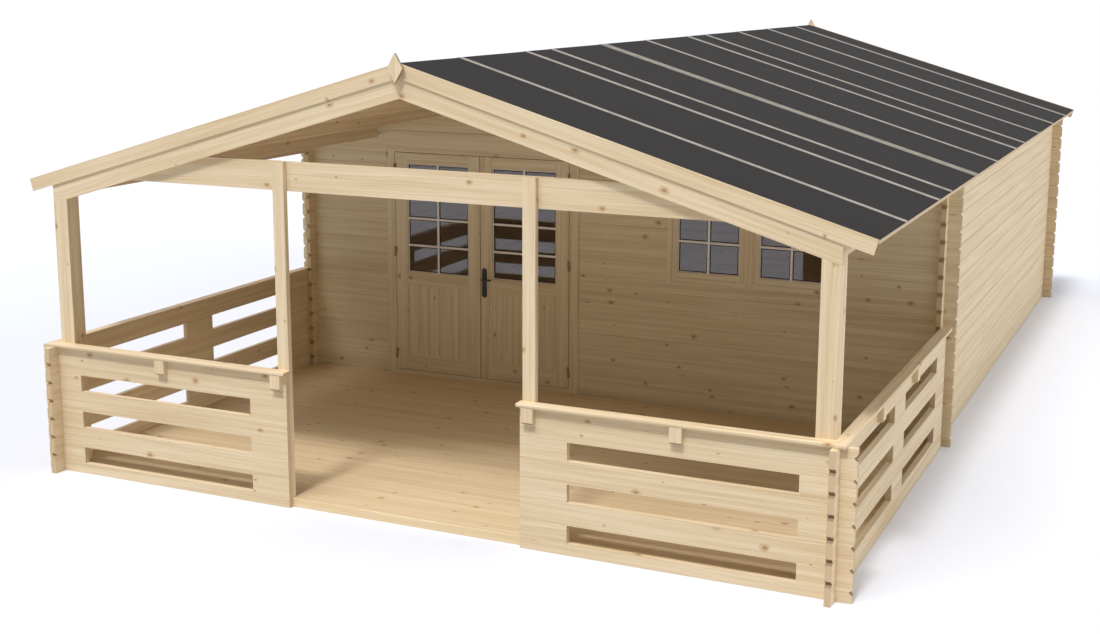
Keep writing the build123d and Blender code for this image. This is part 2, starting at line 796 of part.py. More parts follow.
# Hinge barrels on the jambs, under those of the leaves
with BuildPart() as frame_hinges:
    for side, word in SIDES:
        hinge_x = door_centre + side * (door_opening / 2 - door_gap / 2)
        for height in hinge_heights:
            with BuildSketch(Plane.XY.offset(height - hinge_play / 2 - barrel)):
                with Locations((hinge_x, hinge_y)):
                    Circle(hinge_radius)
                with Locations((hinge_x + side * hinge_radius, frame_front_y)):
                    Rectangle(hinge_radius, hinge_radius, align=(Align.CENTER, Align.MAX))
            extrude(amount=barrel)
frame_hinges.part.label = "frame_hinges"
export_step(frame_hinges.part, "parts/frame_hinges.step")

# Door handle: a long plate with a lever on the right leaf, outside and inside
handle_plate_bottom = floor_top + handle_plate_rise
lever_height = handle_plate_bottom + lever_rise
handle_x = door_centre + meeting_gap / 2 + handle_plate_inset + handle_plate_width / 2
with BuildPart() as door_handle:
    for face_y, out in ((frame_front_y, -1), (frame_front_y + leaf_thickness, 1)):
        with BuildSketch(front_plane(face_y)):
            with Locations((handle_x, handle_plate_bottom)):
                Rectangle(handle_plate_width, handle_plate_height, align=(Align.CENTER, Align.MIN))
        extrude(amount=-out * handle_plate_thickness)
        with BuildSketch(front_plane(face_y)):
            with Locations((handle_x, lever_height)):
                Circle(lever_radius)
        extrude(amount=-out * (lever_reach + lever_radius))
        with BuildSketch(Plane.YZ.offset(handle_x)):
            with Locations((face_y + out * lever_reach, lever_height)):
                Circle(lever_radius)
        extrude(amount=lever_length)
door_handle.part.label = "door_handle"
export_step(door_handle.part, "parts/door_handle.step")

# Window: a frame with a middle post, two sashes and their panes
sash_opening = (window_width - 2 * window_frame_face - window_mullion) / 2
sash_height = window_height - 2 * window_frame_face
sash_centres = [window_centre + side * (window_mullion + sash_opening) / 2 for side, word in SIDES]
window_mid = (window_bottom + window_top) / 2
with BuildPart() as window_frame:
    with BuildSketch(front_plane(frame_front_y)):
        with Locations((window_centre, window_mid)):
            Rectangle(window_width, window_height)
        with Locations(*[(x, window_mid) for x in sash_centres]):
            Rectangle(sash_opening, sash_height, mode=Mode.SUBTRACT)
    extrude(amount=-frame_depth)
window_frame.part.label = "window_frame"
export_step(window_frame.part, "parts/window_frame.step")

sash_y = frame_front_y + sash_setback
with BuildPart() as window_sashes:
    with BuildSketch(front_plane(sash_y)):
        with Locations(*[(x, window_mid) for x in sash_centres]):
            Rectangle(sash_opening, sash_height)
            Rectangle(sash_opening - 2 * sash_face, sash_height - 2 * sash_face, mode=Mode.SUBTRACT)
    extrude(amount=-sash_thickness)
window_sashes.part.label = "window_sashes"
export_step(window_sashes.part, "parts/window_sashes.step")

with BuildPart() as window_glass:
    with BuildSketch(front_plane(sash_y + (sash_thickness - glass_thickness) / 2)):
        with Locations(*[(x, window_mid) for x in sash_centres]):
            Rectangle(sash_opening - 2 * sash_face, sash_height - 2 * sash_face)
    extrude(amount=-glass_thickness)
window_glass.part.label = "window_glass"
export_step(window_glass.part, "parts/window_glass.step")
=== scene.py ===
"""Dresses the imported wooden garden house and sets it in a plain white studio.

The CAD solids keep their shapes and places. This script gives each of them a
procedural finish and adds what they leave plain: floor and roof boards, laps
of roofing felt, thin barge boards, boarded door panels, glazing bars and a
shaped door handle.
"""

from __future__ import annotations

import json
import logging
import math
import random
from dataclasses import dataclass, replace
from enum import Enum
from typing import Any, Iterable, Mapping, Sequence, Union

import bmesh
import bpy
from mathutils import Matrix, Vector

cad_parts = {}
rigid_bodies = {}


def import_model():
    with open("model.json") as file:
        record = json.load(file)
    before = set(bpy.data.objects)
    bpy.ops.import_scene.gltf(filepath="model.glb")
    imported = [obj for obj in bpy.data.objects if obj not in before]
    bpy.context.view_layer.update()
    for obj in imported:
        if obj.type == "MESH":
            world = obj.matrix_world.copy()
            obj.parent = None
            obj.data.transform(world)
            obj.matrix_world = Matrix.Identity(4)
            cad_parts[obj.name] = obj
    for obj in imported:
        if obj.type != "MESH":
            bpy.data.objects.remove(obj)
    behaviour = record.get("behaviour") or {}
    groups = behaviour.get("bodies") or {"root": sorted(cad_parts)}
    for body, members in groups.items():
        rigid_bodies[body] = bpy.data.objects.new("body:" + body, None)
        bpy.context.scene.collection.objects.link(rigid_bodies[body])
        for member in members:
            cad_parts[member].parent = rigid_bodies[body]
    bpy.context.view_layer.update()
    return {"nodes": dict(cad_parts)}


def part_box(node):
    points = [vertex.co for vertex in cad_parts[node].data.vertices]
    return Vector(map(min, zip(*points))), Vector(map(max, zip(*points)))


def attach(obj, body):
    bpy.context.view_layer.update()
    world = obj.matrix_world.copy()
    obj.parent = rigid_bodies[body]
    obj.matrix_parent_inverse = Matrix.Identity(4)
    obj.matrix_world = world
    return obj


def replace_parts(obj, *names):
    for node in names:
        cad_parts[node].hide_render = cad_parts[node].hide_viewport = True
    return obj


LOG = logging.getLogger("garden_house")
HOUSE = "house"
Colour = tuple[float, float, float]
Band = tuple[float, float]
Key = Union[str, int]
ROOF_PITCH = math.radians(16.4)
ONE_BOARD = 0.5
RIGHTWARD, BACKWARD, UPWARD = Vector((1, 0, 0)), Vector((0, 1, 0)), Vector((0, 0, 1))
# A shaded copy of the wood for parts seen only in the porch's shade: less red than the lit wood, so
# that the warm light bounced in the porch renders it in the lit wood's hue.
PORCH_SHADE_WOOD: dict[str, Colour] = {"pale": (239, 227, 197), "deep": (205, 179, 135)}


def paint(colour: Colour) -> tuple[float, float, float, float]:
    """Turns a colour as a screen shows it into the linear colour that shaders use.

    Args:
        colour: Red, green and blue from 0 to 255.

    Returns:
        Linear red, green and blue, and an alpha of 1.
    """
    linear = []
    for channel in colour:
        share = channel / 255.0
        linear.append(share / 12.92 if share <= 0.04045 else ((share + 0.055) / 1.055) ** 2.4)
    return (linear[0], linear[1], linear[2], 1.0)


class Grain(Enum):
    """The way that the fibres of a timber run."""

    ACROSS = "x"
    BACK = "y"
    UP = "z"
    LEFT_SLOPE = "left"
    RIGHT_SLOPE = "right"
    LEFT_RAFTER = "left rafter"
    RIGHT_RAFTER = "right rafter"
    LEVEL = "level"

    def axes(self, pitch: float) -> tuple[Vector, Vector, Vector]:
        """Gives the three directions of a timber.

        Args:
            pitch: The roof's pitch in radians.

        Returns:
            The directions along the grain, across the face and through the timber.
        """
        rise, run = math.sin(pitch), math.cos(pitch)
        left, left_face = Vector((run, 0, rise)), Vector((-rise, 0, run))
        right, right_face = Vector((run, 0, -rise)), Vector((rise, 0, run))
        return {
            Grain.ACROSS: (RIGHTWARD, UPWARD, BACKWARD),
            Grain.BACK: (BACKWARD, UPWARD, RIGHTWARD),
            Grain.UP: (UPWARD, RIGHTWARD, BACKWARD),
            Grain.LEFT_SLOPE: (left, BACKWARD, left_face),
            Grain.RIGHT_SLOPE: (right, BACKWARD, right_face),
            Grain.LEFT_RAFTER: (left, left_face, BACKWARD),
            Grain.RIGHT_RAFTER: (right, right_face, BACKWARD),
            Grain.LEVEL: (RIGHTWARD, BACKWARD, UPWARD),
        }[self]


class Side(Enum):
    """The two halves of the house, seen from the front."""

    LEFT = -1.0
    RIGHT = 1.0

    @property
    def word(self) -> str:
        """The side's name as the CAD nodes write it."""
        return self.name.lower()


class Sock:
    """One shader socket that can be used in Python sums."""

    def __init__(self, graph: Graph, socket: bpy.types.NodeSocket) -> None:
        """Keeps the socket and the graph that it belongs to."""
        self.graph = graph
        self.socket = socket

    def sum(self, operation: str, first: Term, second: Term = 0.0) -> Sock:
        """Adds one Math node.

        Args:
            operation: The Math node's operation.
            first: The first number or socket.
            second: The second number or socket.

        Returns:
            The node's result.
        """
        return self.graph.node("ShaderNodeMath", {"operation": operation}, {0: first, 1: second})

    def __add__(self, other: Term) -> Sock:
        """Adds."""
        return self.sum("ADD", self, other)

    def __radd__(self, other: Term) -> Sock:
        """Adds to a number."""
        return self.sum("ADD", other, self)

    def __sub__(self, other: Term) -> Sock:
        """Takes away."""
        return self.sum("SUBTRACT", self, other)

    def __rsub__(self, other: Term) -> Sock:
        """Takes away from a number."""
        return self.sum("SUBTRACT", other, self)

    def __mul__(self, other: Term) -> Sock:
        """Multiplies."""
        return self.sum("MULTIPLY", self, other)

    def __rmul__(self, other: Term) -> Sock:
        """Multiplies a number."""
        return self.sum("MULTIPLY", other, self)

    def __truediv__(self, other: Term) -> Sock:
        """Divides."""
        return self.sum("DIVIDE", self, other)

    def __rtruediv__(self, other: Term) -> Sock:
        """Divides a number."""
        return self.sum("DIVIDE", other, self)

    def __pow__(self, other: Term) -> Sock:
        """Raises to a power."""
        return self.sum("POWER", self, other)

    def __gt__(self, other: Term) -> Sock:
        """Gives 1 where this is the larger, and 0 elsewhere."""
        return self.sum("GREATER_THAN", self, other)

    def __lt__(self, other: Term) -> Sock:
        """Gives 1 where this is the smaller, and 0 elsewhere."""
        return self.sum("LESS_THAN", self, other)

    def __abs__(self) -> Sock:
        """Drops the sign."""
        return self.sum("ABSOLUTE", self)

    def __floor__(self) -> Sock:
        """Rounds down."""
        return self.sum("FLOOR", self)

    def sine(self) -> Sock:
        """Gives the sine."""
        return self.sum("SINE", self)

    def held(self) -> Sock:
        """Keeps the value between 0 and 1."""
        return self.sum("MINIMUM", self.sum("MAXIMUM", self, 0.0), 1.0)

    def eased(self, low: float, high: float) -> Sock:
        """Rises smoothly from 0 at low to 1 at high.

        Args:
            low: Where the rise starts.
            high: Where it ends.

        Returns:
            The eased value.
        """
        return self.graph.node(
            "ShaderNodeMapRange",
            {"interpolation_type": "SMOOTHSTEP"},
            {"Value": self, "From Min": low, "From Max": high},
        )


Term = Union[Sock, float]


class Graph:
    """The nodes of one material or of the world."""

    def __init__(self, tree: bpy.types.NodeTree) -> None:
        """Starts from an empty tree."""
        tree.nodes.clear()
        self.tree = tree

    @staticmethod
    def pick(sockets: Iterable[bpy.types.NodeSocket], key: Key) -> bpy.types.NodeSocket:
        """Finds a socket by its place, identifier or name.

        Args:
            sockets: A node's inputs or outputs.
            key: The place, identifier or name.

        Returns:
            The socket.
        """
        listed = list(sockets)
        if isinstance(key, int):
            return listed[key]
        for socket in listed:
            if socket.identifier == key:
                return socket
        return next(socket for socket in listed if socket.name == key)

    def node(
        self, kind: str, settings: Mapping[str, Any], sockets: Mapping[Key, Any], out: Key = 0
    ) -> Sock:
        """Adds a node of any type.

        Args:
            kind: The node's type.
            settings: Its settings, which are set first.
            sockets: Values or links for its inputs.
            out: Which output is given back.

        Returns:
            That output.
        """
        made = self.tree.nodes.new(kind)
        for name, setting in settings.items():
            setattr(made, name, setting)
        for key, value in sockets.items():
            socket = self.pick(made.inputs, key)
            if isinstance(value, Sock):
                self.tree.links.new(value.socket, socket)
            else:
                socket.default_value = value
        return Sock(self, self.pick(made.outputs, out)) if len(made.outputs) else Sock(self, None)

    def sibling(self, sock: Sock, out: Key) -> Sock:
        """Gives another output of the node that a socket belongs to."""
        return Sock(self, self.pick(sock.socket.node.outputs, out))

    def along(self, place: Sock, axis: Vector) -> Sock:
        """Gives how far a place lies along an axis."""
        settings = {"operation": "DOT_PRODUCT"}
        return self.node("ShaderNodeVectorMath", settings, {0: place, 1: tuple(axis)}, "Value")

    def vector(self, x: Term, y: Term, z: Term) -> Sock:
        """Puts three numbers together."""
        return self.node("ShaderNodeCombineXYZ", {}, {"X": x, "Y": y, "Z": z})

    def mixed(self, share: Term, first: Any, second: Any, blend: str = "MIX") -> Sock:
        """Mixes two colours.

        Args:
            share: How much of the second colour there is.
            first: The first colour.
            second: The second colour.
            blend: The Mix node's blend type.

        Returns:
            The mixed colour.
        """
        settings = {"data_type": "RGBA", "blend_type": blend, "clamp_factor": True}
        sockets = {"Factor_Float": share, "A_Color": first, "B_Color": second}
        return self.node("ShaderNodeMix", settings, sockets, "Result_Color")

    def noise(self, place: Sock, scale: float, detail: float = 3.0, rough: float = 0.55) -> Sock:
        """Gives a cloud of noise from 0 to 1.

        Args:
            place: Where the noise is read.
            scale: Its scale.
            detail: How many finer layers it has.
            rough: How strong they are.

        Returns:
            The noise.
        """
        sockets = {"Vector": place, "Scale": scale, "Detail": detail, "Roughness": rough}
        return self.node("ShaderNodeTexNoise", {"noise_dimensions": "3D"}, sockets)

    def coordinates(self, kind: str) -> Sock:
        """Gives an output of Texture Coordinate, such as Object or Normal."""
        return self.node("ShaderNodeTexCoord", {}, {}, kind)

    def cells(self, place: Sock, scale: float, dimensions: str) -> tuple[Sock, Sock]:
        """Scatters points, each with a number of its own.

        Args:
            place: Where the points are read.
            scale: How close they lie.
            dimensions: 2D or 3D.

        Returns:
            How far the nearest point is, and its number from 0 to 1.
        """
        settings = {"voronoi_dimensions": dimensions, "feature": "F1"}
        sockets = {"Vector": place, "Scale": scale, "Randomness": 1.0}
        far = self.node("ShaderNodeTexVoronoi", settings, sockets, "Distance")
        colour = self.sibling(far, "Color")
        return far, self.node("ShaderNodeSeparateColor", {}, {"Color": colour}, "Red")

    def bump(self, height: Sock, strength: float, distance: float) -> Sock:
        """Turns heights into a bumpy normal.

        Args:
            height: The heights, about 0 to 1.
            strength: How much of the bump shows.
            distance: How high it stands, in metres.

        Returns:
            The normal.
        """
        sockets = {"Strength": strength, "Distance": distance, "Height": height}
        return self.node("ShaderNodeBump", {}, sockets)

    def looked_at(self) -> Sock:
        """Tells what the camera sees from what only lights the scene.

        Returns:
            1 where the camera looks, straight or by glass and metal, and 0 elsewhere.
        """
        seen = self.node("ShaderNodeLightPath", {}, {}, "Is Camera Ray")
        shiny = self.sibling(seen, "Is Glossy Ray")
        return (seen + shiny + self.sibling(seen, "Is Transmission Ray")).held()

    def surface(self, fixed: Mapping[str, Any], varied: Mapping[str, Sock]) -> None:
        """Ends a material with a Principled shader.

        Args:
            fixed: Values that are the same all over.
            varied: Sockets that change over the surface.
        """
        shader = self.node("ShaderNodeBsdfPrincipled", {}, {**fixed, **varied})
        self.node("ShaderNodeOutputMaterial", {}, {"Surface": shader})


@dataclass(frozen=True)
class Finish:
    """A procedural material that lies by the object's own places."""

    name: str

    def material(self) -> bpy.types.Material:
        """Makes the finish's material.

        Returns:
            The material.
        """
        material = bpy.data.materials.new(self.name)
        material.use_nodes = True
        g = Graph(material.node_tree)
        self.lay(g, g.coordinates("Object"))
        return material

    def lay(self, g: Graph, place: Sock) -> None:
        """Adds the nodes, which each kind of finish does in its own way."""
        raise NotImplementedError


@dataclass(frozen=True)
class WoodFinish(Finish):
    """Planed softwood with streaks, growth rings and small knots, and painted shade in the notches
    at the log ends and along the log joints.
    """

    grain: Grain
    pale: Colour = (240, 222, 190)
    deep: Colour = (205, 174, 129)
    knot: Colour = (166, 122, 82)
    end: Colour = (217, 194, 160)
    # Painted shade: the dark colour laid on the slanted notch faces at the log ends and along the
    # log joints, where shade falls.
    notch: Colour = (128, 101, 68)
    row: float = 0.135
    row_start: float = 0.0
    row_change: float = 0.1
    row_slide: float = 9.0
    # Painted shade along the log joints: how strong it is and how wide.
    joint_share: float = 0.0
    joint_width: float = 0.018
    streaks: Band = (0.7, 26.0)
    streak_range: Band = (0.3, 0.72)
    fibres: Band = (6.0, 240.0)
    sways: Band = (0.5, 4.0)
    sway: float = 0.16
    lean: float = 0.35
    ring: float = 0.017
    ring_power: float = 2.5
    heart: float = 0.06
    end_rings: float = 900.0
    # How slanted to the grain a face must be to get the painted notch shade.
    notch_from: Band = (0.3, 0.5)
    notch_to: Band = (0.75, 0.88)
    end_from: Band = (0.75, 0.9)
    knot_share: float = 0.7
    knot_size: float = 0.092
    knot_cells: float = 3.9
    knot_spread: Band = (0.85, 1.25)
    knot_step: float = 0.21
    knot_edge: float = 70.0
    rim_size: float = 2.3
    rim_edge: float = 24.0
    rim_bend: float = 0.006
    roughness: float = 0.58
    shine: float = 0.35
    relief: float = 0.16
    relief_height: float = 0.002
    seed: float = 0.0
    bands: tuple[Band, ...] = ()
    pitch: float = ROOF_PITCH

    def lay(self, g: Graph, place: Sock) -> None:
        """Adds the wood's nodes.

        Args:
            g: The material's graph.
            place: The place on the object.
        """
        normal = g.coordinates("Normal")
        along_axis, across_axis, depth_axis = self.grain.axes(self.pitch)
        along, across = g.along(place, along_axis), g.along(place, across_axis)
        depth, ends = g.along(place, depth_axis), abs(g.along(normal, along_axis))
        if self.bands:
            along, across, ends = self._turned(g, place, normal, along, across, ends)
        level = (across - self.row_start) / self.row
        row = math.floor(level)
        counted = {"W": row + self.seed}
        chance = g.node("ShaderNodeTexWhiteNoise", {"noise_dimensions": "1D"}, counted)
        spot = (along + chance * self.row_slide, across, depth)
        knots, rim = self._knots(g, spot[0], across + depth, row)
        streak = self._drawn_out(g, spot, self.streaks, 4.0, 0.6)
        fine = self._drawn_out(g, spot, self.fibres)
        sway = (self._drawn_out(g, spot, self.sways) - 0.5) * self.sway
        turns = across + depth * self.lean + sway + rim * self.rim_bend
        rings = (((turns * (2.0 * math.pi / self.ring)).sine() + 1.0) * 0.5) ** self.ring_power
        shade = (chance - 0.5) * self.row_change
        figure = streak.eased(*self.streak_range) * 0.5 + rings * 0.16 + fine * 0.16 + shade
        deep, notch = paint(self.deep), paint(self.notch)
        colour = g.mixed(figure.held(), paint(self.pale), deep)
        colour = g.mixed(rim * 0.4, colour, deep, "MULTIPLY")
        colour = g.mixed(knots * 0.75, colour, paint(self.knot))
        # Painted shade in the notches: faces that lie at a slant to the grain, the V-notches at the
        # log ends, are darkened to the notch colour.
        notched = ends.eased(*self.notch_from) * (1.0 - ends.eased(*self.notch_to))
        colour = g.mixed(notched * 0.85, colour, notch)
        # Painted shade in the grooves between logs: the top and bottom edge of each log is darkened
        # towards the notch colour.
        if self.joint_share:
            edge = abs(level - row - 0.5).eased(0.5 - self.joint_width / self.row / 2, 0.5)
            colour = g.mixed(edge * self.joint_share, colour, notch)
        heart = depth + self.heart
        arcs = ((across * across + heart * heart) ** 0.5 * self.end_rings).sine() * 0.2 + 0.5
        end_grain = g.mixed(arcs * 0.35, paint(self.end), deep, "MULTIPLY")
        colour = g.mixed(ends.eased(*self.end_from), colour, end_grain)
        height = rings * 0.35 + streak * 0.35 + fine * 0.5 - knots * 0.3
        rough = streak * 0.16 + fine * 0.08 + (self.roughness - 0.12)
        bump = g.bump(height, self.relief, self.relief_height)
        g.surface(
            {"Specular IOR Level": self.shine},
            {"Base Color": colour, "Roughness": rough, "Normal": bump},
        )

    @staticmethod
    def _drawn_out(
        g: Graph, spot: Sequence[Sock], scales: Band, detail: float = 2.0, rough: float = 0.55
    ) -> Sock:
        """Gives noise that is drawn out along the grain.

        Args:
            g: The material's graph.
            spot: The places along the grain, across it and through the timber.
            scales: The noise's scales along the grain and across it.
            detail: How many finer layers it has.
            rough: How strong they are.

        Returns:
            The noise.
        """
        (along, across, depth), (length, width) = spot, scales
        place = g.vector(along * length, across * width, depth * width)
        return g.noise(place, 1.0, detail, rough)

    def _turned(
        self, g: Graph, place: Sock, normal: Sock, along: Sock, across: Sock, ends: Sock
    ) -> tuple[Sock, Sock, Sock]:
        """Turns the grain level inside the bands, where rails run between stiles.

        Args:
            g: The material's graph.
            place: The place on the object.
            normal: The surface's normal on the object.
            along: The place along the upright grain.
            across: The place across it.
            ends: How far a face looks along the upright grain.

        Returns:
            The same three numbers with the grain turned in the bands.
        """
        x, x_face = g.along(place, RIGHTWARD), abs(g.along(normal, RIGHTWARD))
        inside: Term = 0.0
        for low, high in self.bands:
            inside = (x > low) * (x < high) + inside
        return (
            along + (across - along) * inside,
            across + (along - across) * inside,
            ends + (x_face - ends) * inside,
        )

    def _knots(self, g: Graph, along: Sock, across: Sock, row: Sock) -> tuple[Sock, Sock]:
        """Scatters knots over the boards.

        Args:
            g: The material's graph.
            along: The place along the grain, shifted for each board.
            across: The place across the grain.
            row: The number of the board.

        Returns:
            The knots and the darker ring around them.
        """
        length, width = self.knot_spread
        place = g.vector(along * length, across * width + row * self.knot_step, 0.0)
        cell, luck = g.cells(place, self.knot_cells, "2D")
        size = (luck - (1.0 - self.knot_share)) * self.knot_size
        knots = ((size - cell) * self.knot_edge).held()
        rim = ((size * self.rim_size - cell) * self.rim_edge).held()
        return knots, rim


@dataclass(frozen=True)
class FeltFinish(Finish):
    """Mineral roofing felt, dark and granular."""

    dark: Colour = (19, 17, 17)
    light: Colour = (36, 33, 32)
    roughness: float = 0.92
    shine: float = 0.25
    stones: float = 420.0
    clouds: float = 2.2
    streaks: Band = (1.5, 14.0)

    def lay(self, g: Graph, place: Sock) -> None:
        """Adds the felt's nodes.

        Args:
            g: The material's graph.
            place: The place on the object.
        """
        grit, stone = g.cells(place, self.stones, "3D")
        cloud = g.noise(place, self.clouds, 5.0, 0.6)
        down, along = self.streaks
        streak = g.vector(g.along(place, RIGHTWARD * down), g.along(place, BACKWARD * along), 0.0)
        share = (stone * 0.5 + cloud * 0.3 + g.noise(streak, 1.0) * 0.45 - 0.15).held()
        colour = g.mixed(share, paint(self.dark), paint(self.light))
        rough = cloud * 0.08 + (self.roughness - 0.04)
        bump = g.bump(1.0 - grit, 0.35, 0.0015)
        g.surface(
            {"Specular IOR Level": self.shine},
            {"Base Color": colour, "Roughness": rough, "Normal": bump},
        )


@dataclass(frozen=True)
class TapeFinish(Finish):
    """The pale edge of a felt lap, worn and a little dirty."""

    pale: Colour = (168, 160, 152)
    worn: Colour = (142, 135, 125)
    roughness: float = 0.75
    shine: float = 0.25
    clouds: float = 14.0
    specks: float = 350.0

    def lay(self, g: Graph, place: Sock) -> None:
        """Adds the lap edge's nodes.

        Args:
            g: The material's graph.
            place: The place on the object.
        """
        worn = g.noise(place, self.clouds, 5.0, 0.65).eased(0.35, 0.75)
        colour = g.mixed(worn, paint(self.pale), paint(self.worn))
        rough = worn * 0.15 + self.roughness
        bump = g.bump(g.noise(place, self.specks, 2.0), 0.2, 0.001)
        g.surface(
            {"Specular IOR Level": self.shine},
            {"Base Color": colour, "Roughness": rough, "Normal": bump},
        )


@dataclass(frozen=True)
class GlassFinish(Finish):
    """Clear float glass with a faint film of dust."""

    tint: Colour = (226, 234, 230)
    dust: Colour = (205, 214, 208)
    sheen: Colour = (255, 241, 241)
    bending: float = 1.72
    clouds: float = 3.0

    def lay(self, g: Graph, place: Sock) -> None:
        """Adds the glass's nodes.

        Args:
            g: The material's graph.
            place: The place on the object.
        """
        film = g.noise(place, self.clouds, 4.0, 0.6)
        colour = g.mixed(film * 0.25, paint(self.tint), paint(self.dust))
        clear = {"Transmission Weight": 1.0, "IOR": self.bending, "Specular Tint": paint(self.sheen)}
        g.surface(clear, {"Base Color": colour, "Roughness": film * 0.02 + 0.005})


@dataclass(frozen=True)
class CoatFinish(Finish):
    """Paint, rubber or metal, smooth and faintly uneven, with worn places."""

    base: Colour
    worn: Colour
    roughness: float = 0.28
    cloud_rough: float = 0.1
    speck_rough: float = 0.0
    shine: float = 0.8
    metallic: float = 0.0
    clouds: float = 25.0
    specks: float = 500.0
    worn_range: Band = (0.4, 0.8)
    relief: float = 0.08
    relief_height: float = 0.0005

    def lay(self, g: Graph, place: Sock) -> None:
        """Adds the coat's nodes.

        Args:
            g: The material's graph.
            place: The place on the object.
        """
        cloud, speck = g.noise(place, self.clouds, 4.0, 0.6), g.noise(place, self.specks, 2.0)
        colour = g.mixed(cloud.eased(*self.worn_range), paint(self.base), paint(self.worn))
        least = self.roughness - (self.cloud_rough + self.speck_rough) / 2
        rough = cloud * self.cloud_rough + speck * self.speck_rough + least
        bump = g.bump(speck, self.relief, self.relief_height)
        g.surface(
            {"Specular IOR Level": self.shine, "Metallic": self.metallic},
            {"Base Color": colour, "Roughness": rough, "Normal": bump},
        )


BAR_PAINT = CoatFinish("bar_paint", (246, 240, 232), (232, 224, 213))
SEAL_RUBBER = CoatFinish("seal_rubber", (30, 26, 24), (46, 41, 38), roughness=0.6, shine=0.3)
HINGE_STEEL = CoatFinish(
    "hinge_steel", (150, 116, 80), (184, 152, 114), roughness=0.5, cloud_rough=0.2, speck_rough=0.1,
    shine=0.5, metallic=0.6, clouds=40.0, specks=900.0, worn_range=(0.45, 0.8), relief=0.12,
)
HANDLE_BLACK = replace(
    HINGE_STEEL, name="handle_black", base=(26, 25, 25), worn=(52, 50, 48), roughness=0.45,
    metallic=0.0,
)


@dataclass(frozen=True)
class FloorFinish(Finish):
    """The studio's floor, pale to the camera and a little darker where it lights the house."""

    seen: Colour = (223, 225, 233)
    shade: Colour = (221, 224, 232)
    near: Colour = (203, 203, 205)
    front: Colour = (208, 208, 210)
    front_range: Band = (5.0, 9.0)
    clouds: float = 0.15
    glow: float = 0.09

    def lay(self, g: Graph, place: Sock) -> None:
        """Adds the floor's nodes.

        Args:
            g: The material's graph.
            place: The place on the object.
        """
        seen = g.looked_at()
        ahead = g.along(place, -BACKWARD).eased(*self.front_range)
        bounce = g.mixed(ahead, paint(self.near), paint(self.front))
        cloud = g.noise(place, self.clouds, 2.0)
        shown = g.mixed(cloud * 0.2, paint(self.seen), paint(self.shade))
        glow = g.mixed(seen, (0.0, 0.0, 0.0, 1.0), (1.0, 1.0, 1.0, 1.0))
        g.surface(
            {"Roughness": 0.9, "Specular IOR Level": 0.0, "Emission Strength": self.glow},
            {"Base Color": g.mixed(seen, bounce, shown), "Emission Color": glow},
        )


class Workbench:
    """Collects shaped solids and turns them into one piece."""

    def __init__(self) -> None:
        """Starts with nothing on the bench."""
        self.mesh = bmesh.new()

    def prism(self, outline: Sequence[Vector], run: Vector) -> None:
        """Adds a solid of one outline pushed along a run.

        Args:
            outline: The corners of its start face, in order.
            run: How far and which way the outline is pushed.
        """
        near = [self.mesh.verts.new(corner) for corner in outline]
        far = [self.mesh.verts.new(corner + run) for corner in outline]
        self.mesh.faces.new(near)
        self.mesh.faces.new(list(reversed(far)))
        for here in range(len(near)):
            after = (here + 1) % len(near)
            self.mesh.faces.new((near[here], far[here], far[after], near[after]))

    def board(
        self, corner: Vector, run: Vector, width: Vector, depth: Vector, chamfer: float
    ) -> None:
        """Adds a board with chamfered edges on its show face.

        Args:
            corner: One corner of its hidden face.
            run: Its length.
            width: Its width.
            depth: Its thickness, towards the show face.
            chamfer: The size of the chamfers.
        """
        side, out = width.normalized() * chamfer, depth.normalized() * chamfer
        outline = [
            corner,
            corner + width,
            corner + width + depth - out,
            corner + width + depth - side,
            corner + depth + side,
            corner + depth - out,
        ]
        self.prism(outline, run)

    def tube(self, centres: Sequence[Vector], radii: Sequence[Band], around: int) -> None:
        """Adds a closed tube whose section changes along a path.

        Args:
            centres: The middle of each section.
            radii: The level and upright half sizes of each section.
            around: How many corners each section has.
        """
        rings = []
        for place, centre in enumerate(centres):
            before = centres[max(place - 1, 0)]
            after = centres[min(place + 1, len(centres) - 1)]
            way = (after - before).normalized()
            level = way.cross(UPWARD).normalized()
            wide, tall = radii[place]
            ring = []
            for step in range(around):
                turn = 2.0 * math.pi * step / around
                wall = level * (wide * math.cos(turn)) + UPWARD * (tall * math.sin(turn))
                ring.append(self.mesh.verts.new(centre + wall))
            rings.append(ring)
        for first, second in zip(rings, rings[1:]):
            for step in range(around):
                after = (step + 1) % around
                self.mesh.faces.new((first[step], first[after], second[after], second[step]))
        self.mesh.faces.new(list(reversed(rings[0])))
        self.mesh.faces.new(rings[-1])

    def skin(self, grid: Sequence[Sequence[bmesh.types.BMVert]]) -> None:
        """Closes a grid of corners with four-sided faces.

        Args:
            grid: Rows of corners, all equally long.
        """
        for near, far in zip(grid, grid[1:]):
            for place in range(len(near) - 1):
                self.mesh.faces.new((near[place], far[place], far[place + 1], near[place + 1]))

    def piece(
        self, name: str, finish: bpy.types.Material, body: str, slot: str
    ) -> bpy.types.Object:
        """Turns what is on the bench into a piece that rides on a body.

        Args:
            name: The piece's name.
            finish: Its material.
            body: The CAD body that it moves with.
            slot: The record's material slot; not used.

        Returns:
            The piece.
        """
        bmesh.ops.recalc_face_normals(self.mesh, faces=self.mesh.faces[:])
        data = bpy.data.meshes.new(name)
        self.mesh.to_mesh(data)
        self.mesh.free()
        data.materials.append(finish)
        made = bpy.data.objects.new(name, data)
        bpy.context.collection.objects.link(made)
        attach(made, body)
        LOG.info("built %s with %d faces", name, len(data.polygons))
        return made


def dress(
    nodes: Mapping[str, bpy.types.Object], finish: Finish, *names: str
) -> bpy.types.Material:
    """Gives CAD nodes a finish.

    Args:
        nodes: All CAD nodes by name.
        finish: The finish.
        names: The nodes that get it.

    Returns:
        The finish's material.
    """
    material = finish.material()
    for name in names:
        slots = nodes[name].data.materials
        slots.clear()
        slots.append(material)
        LOG.info("dressed %s in %s", name, material.name)
    return material


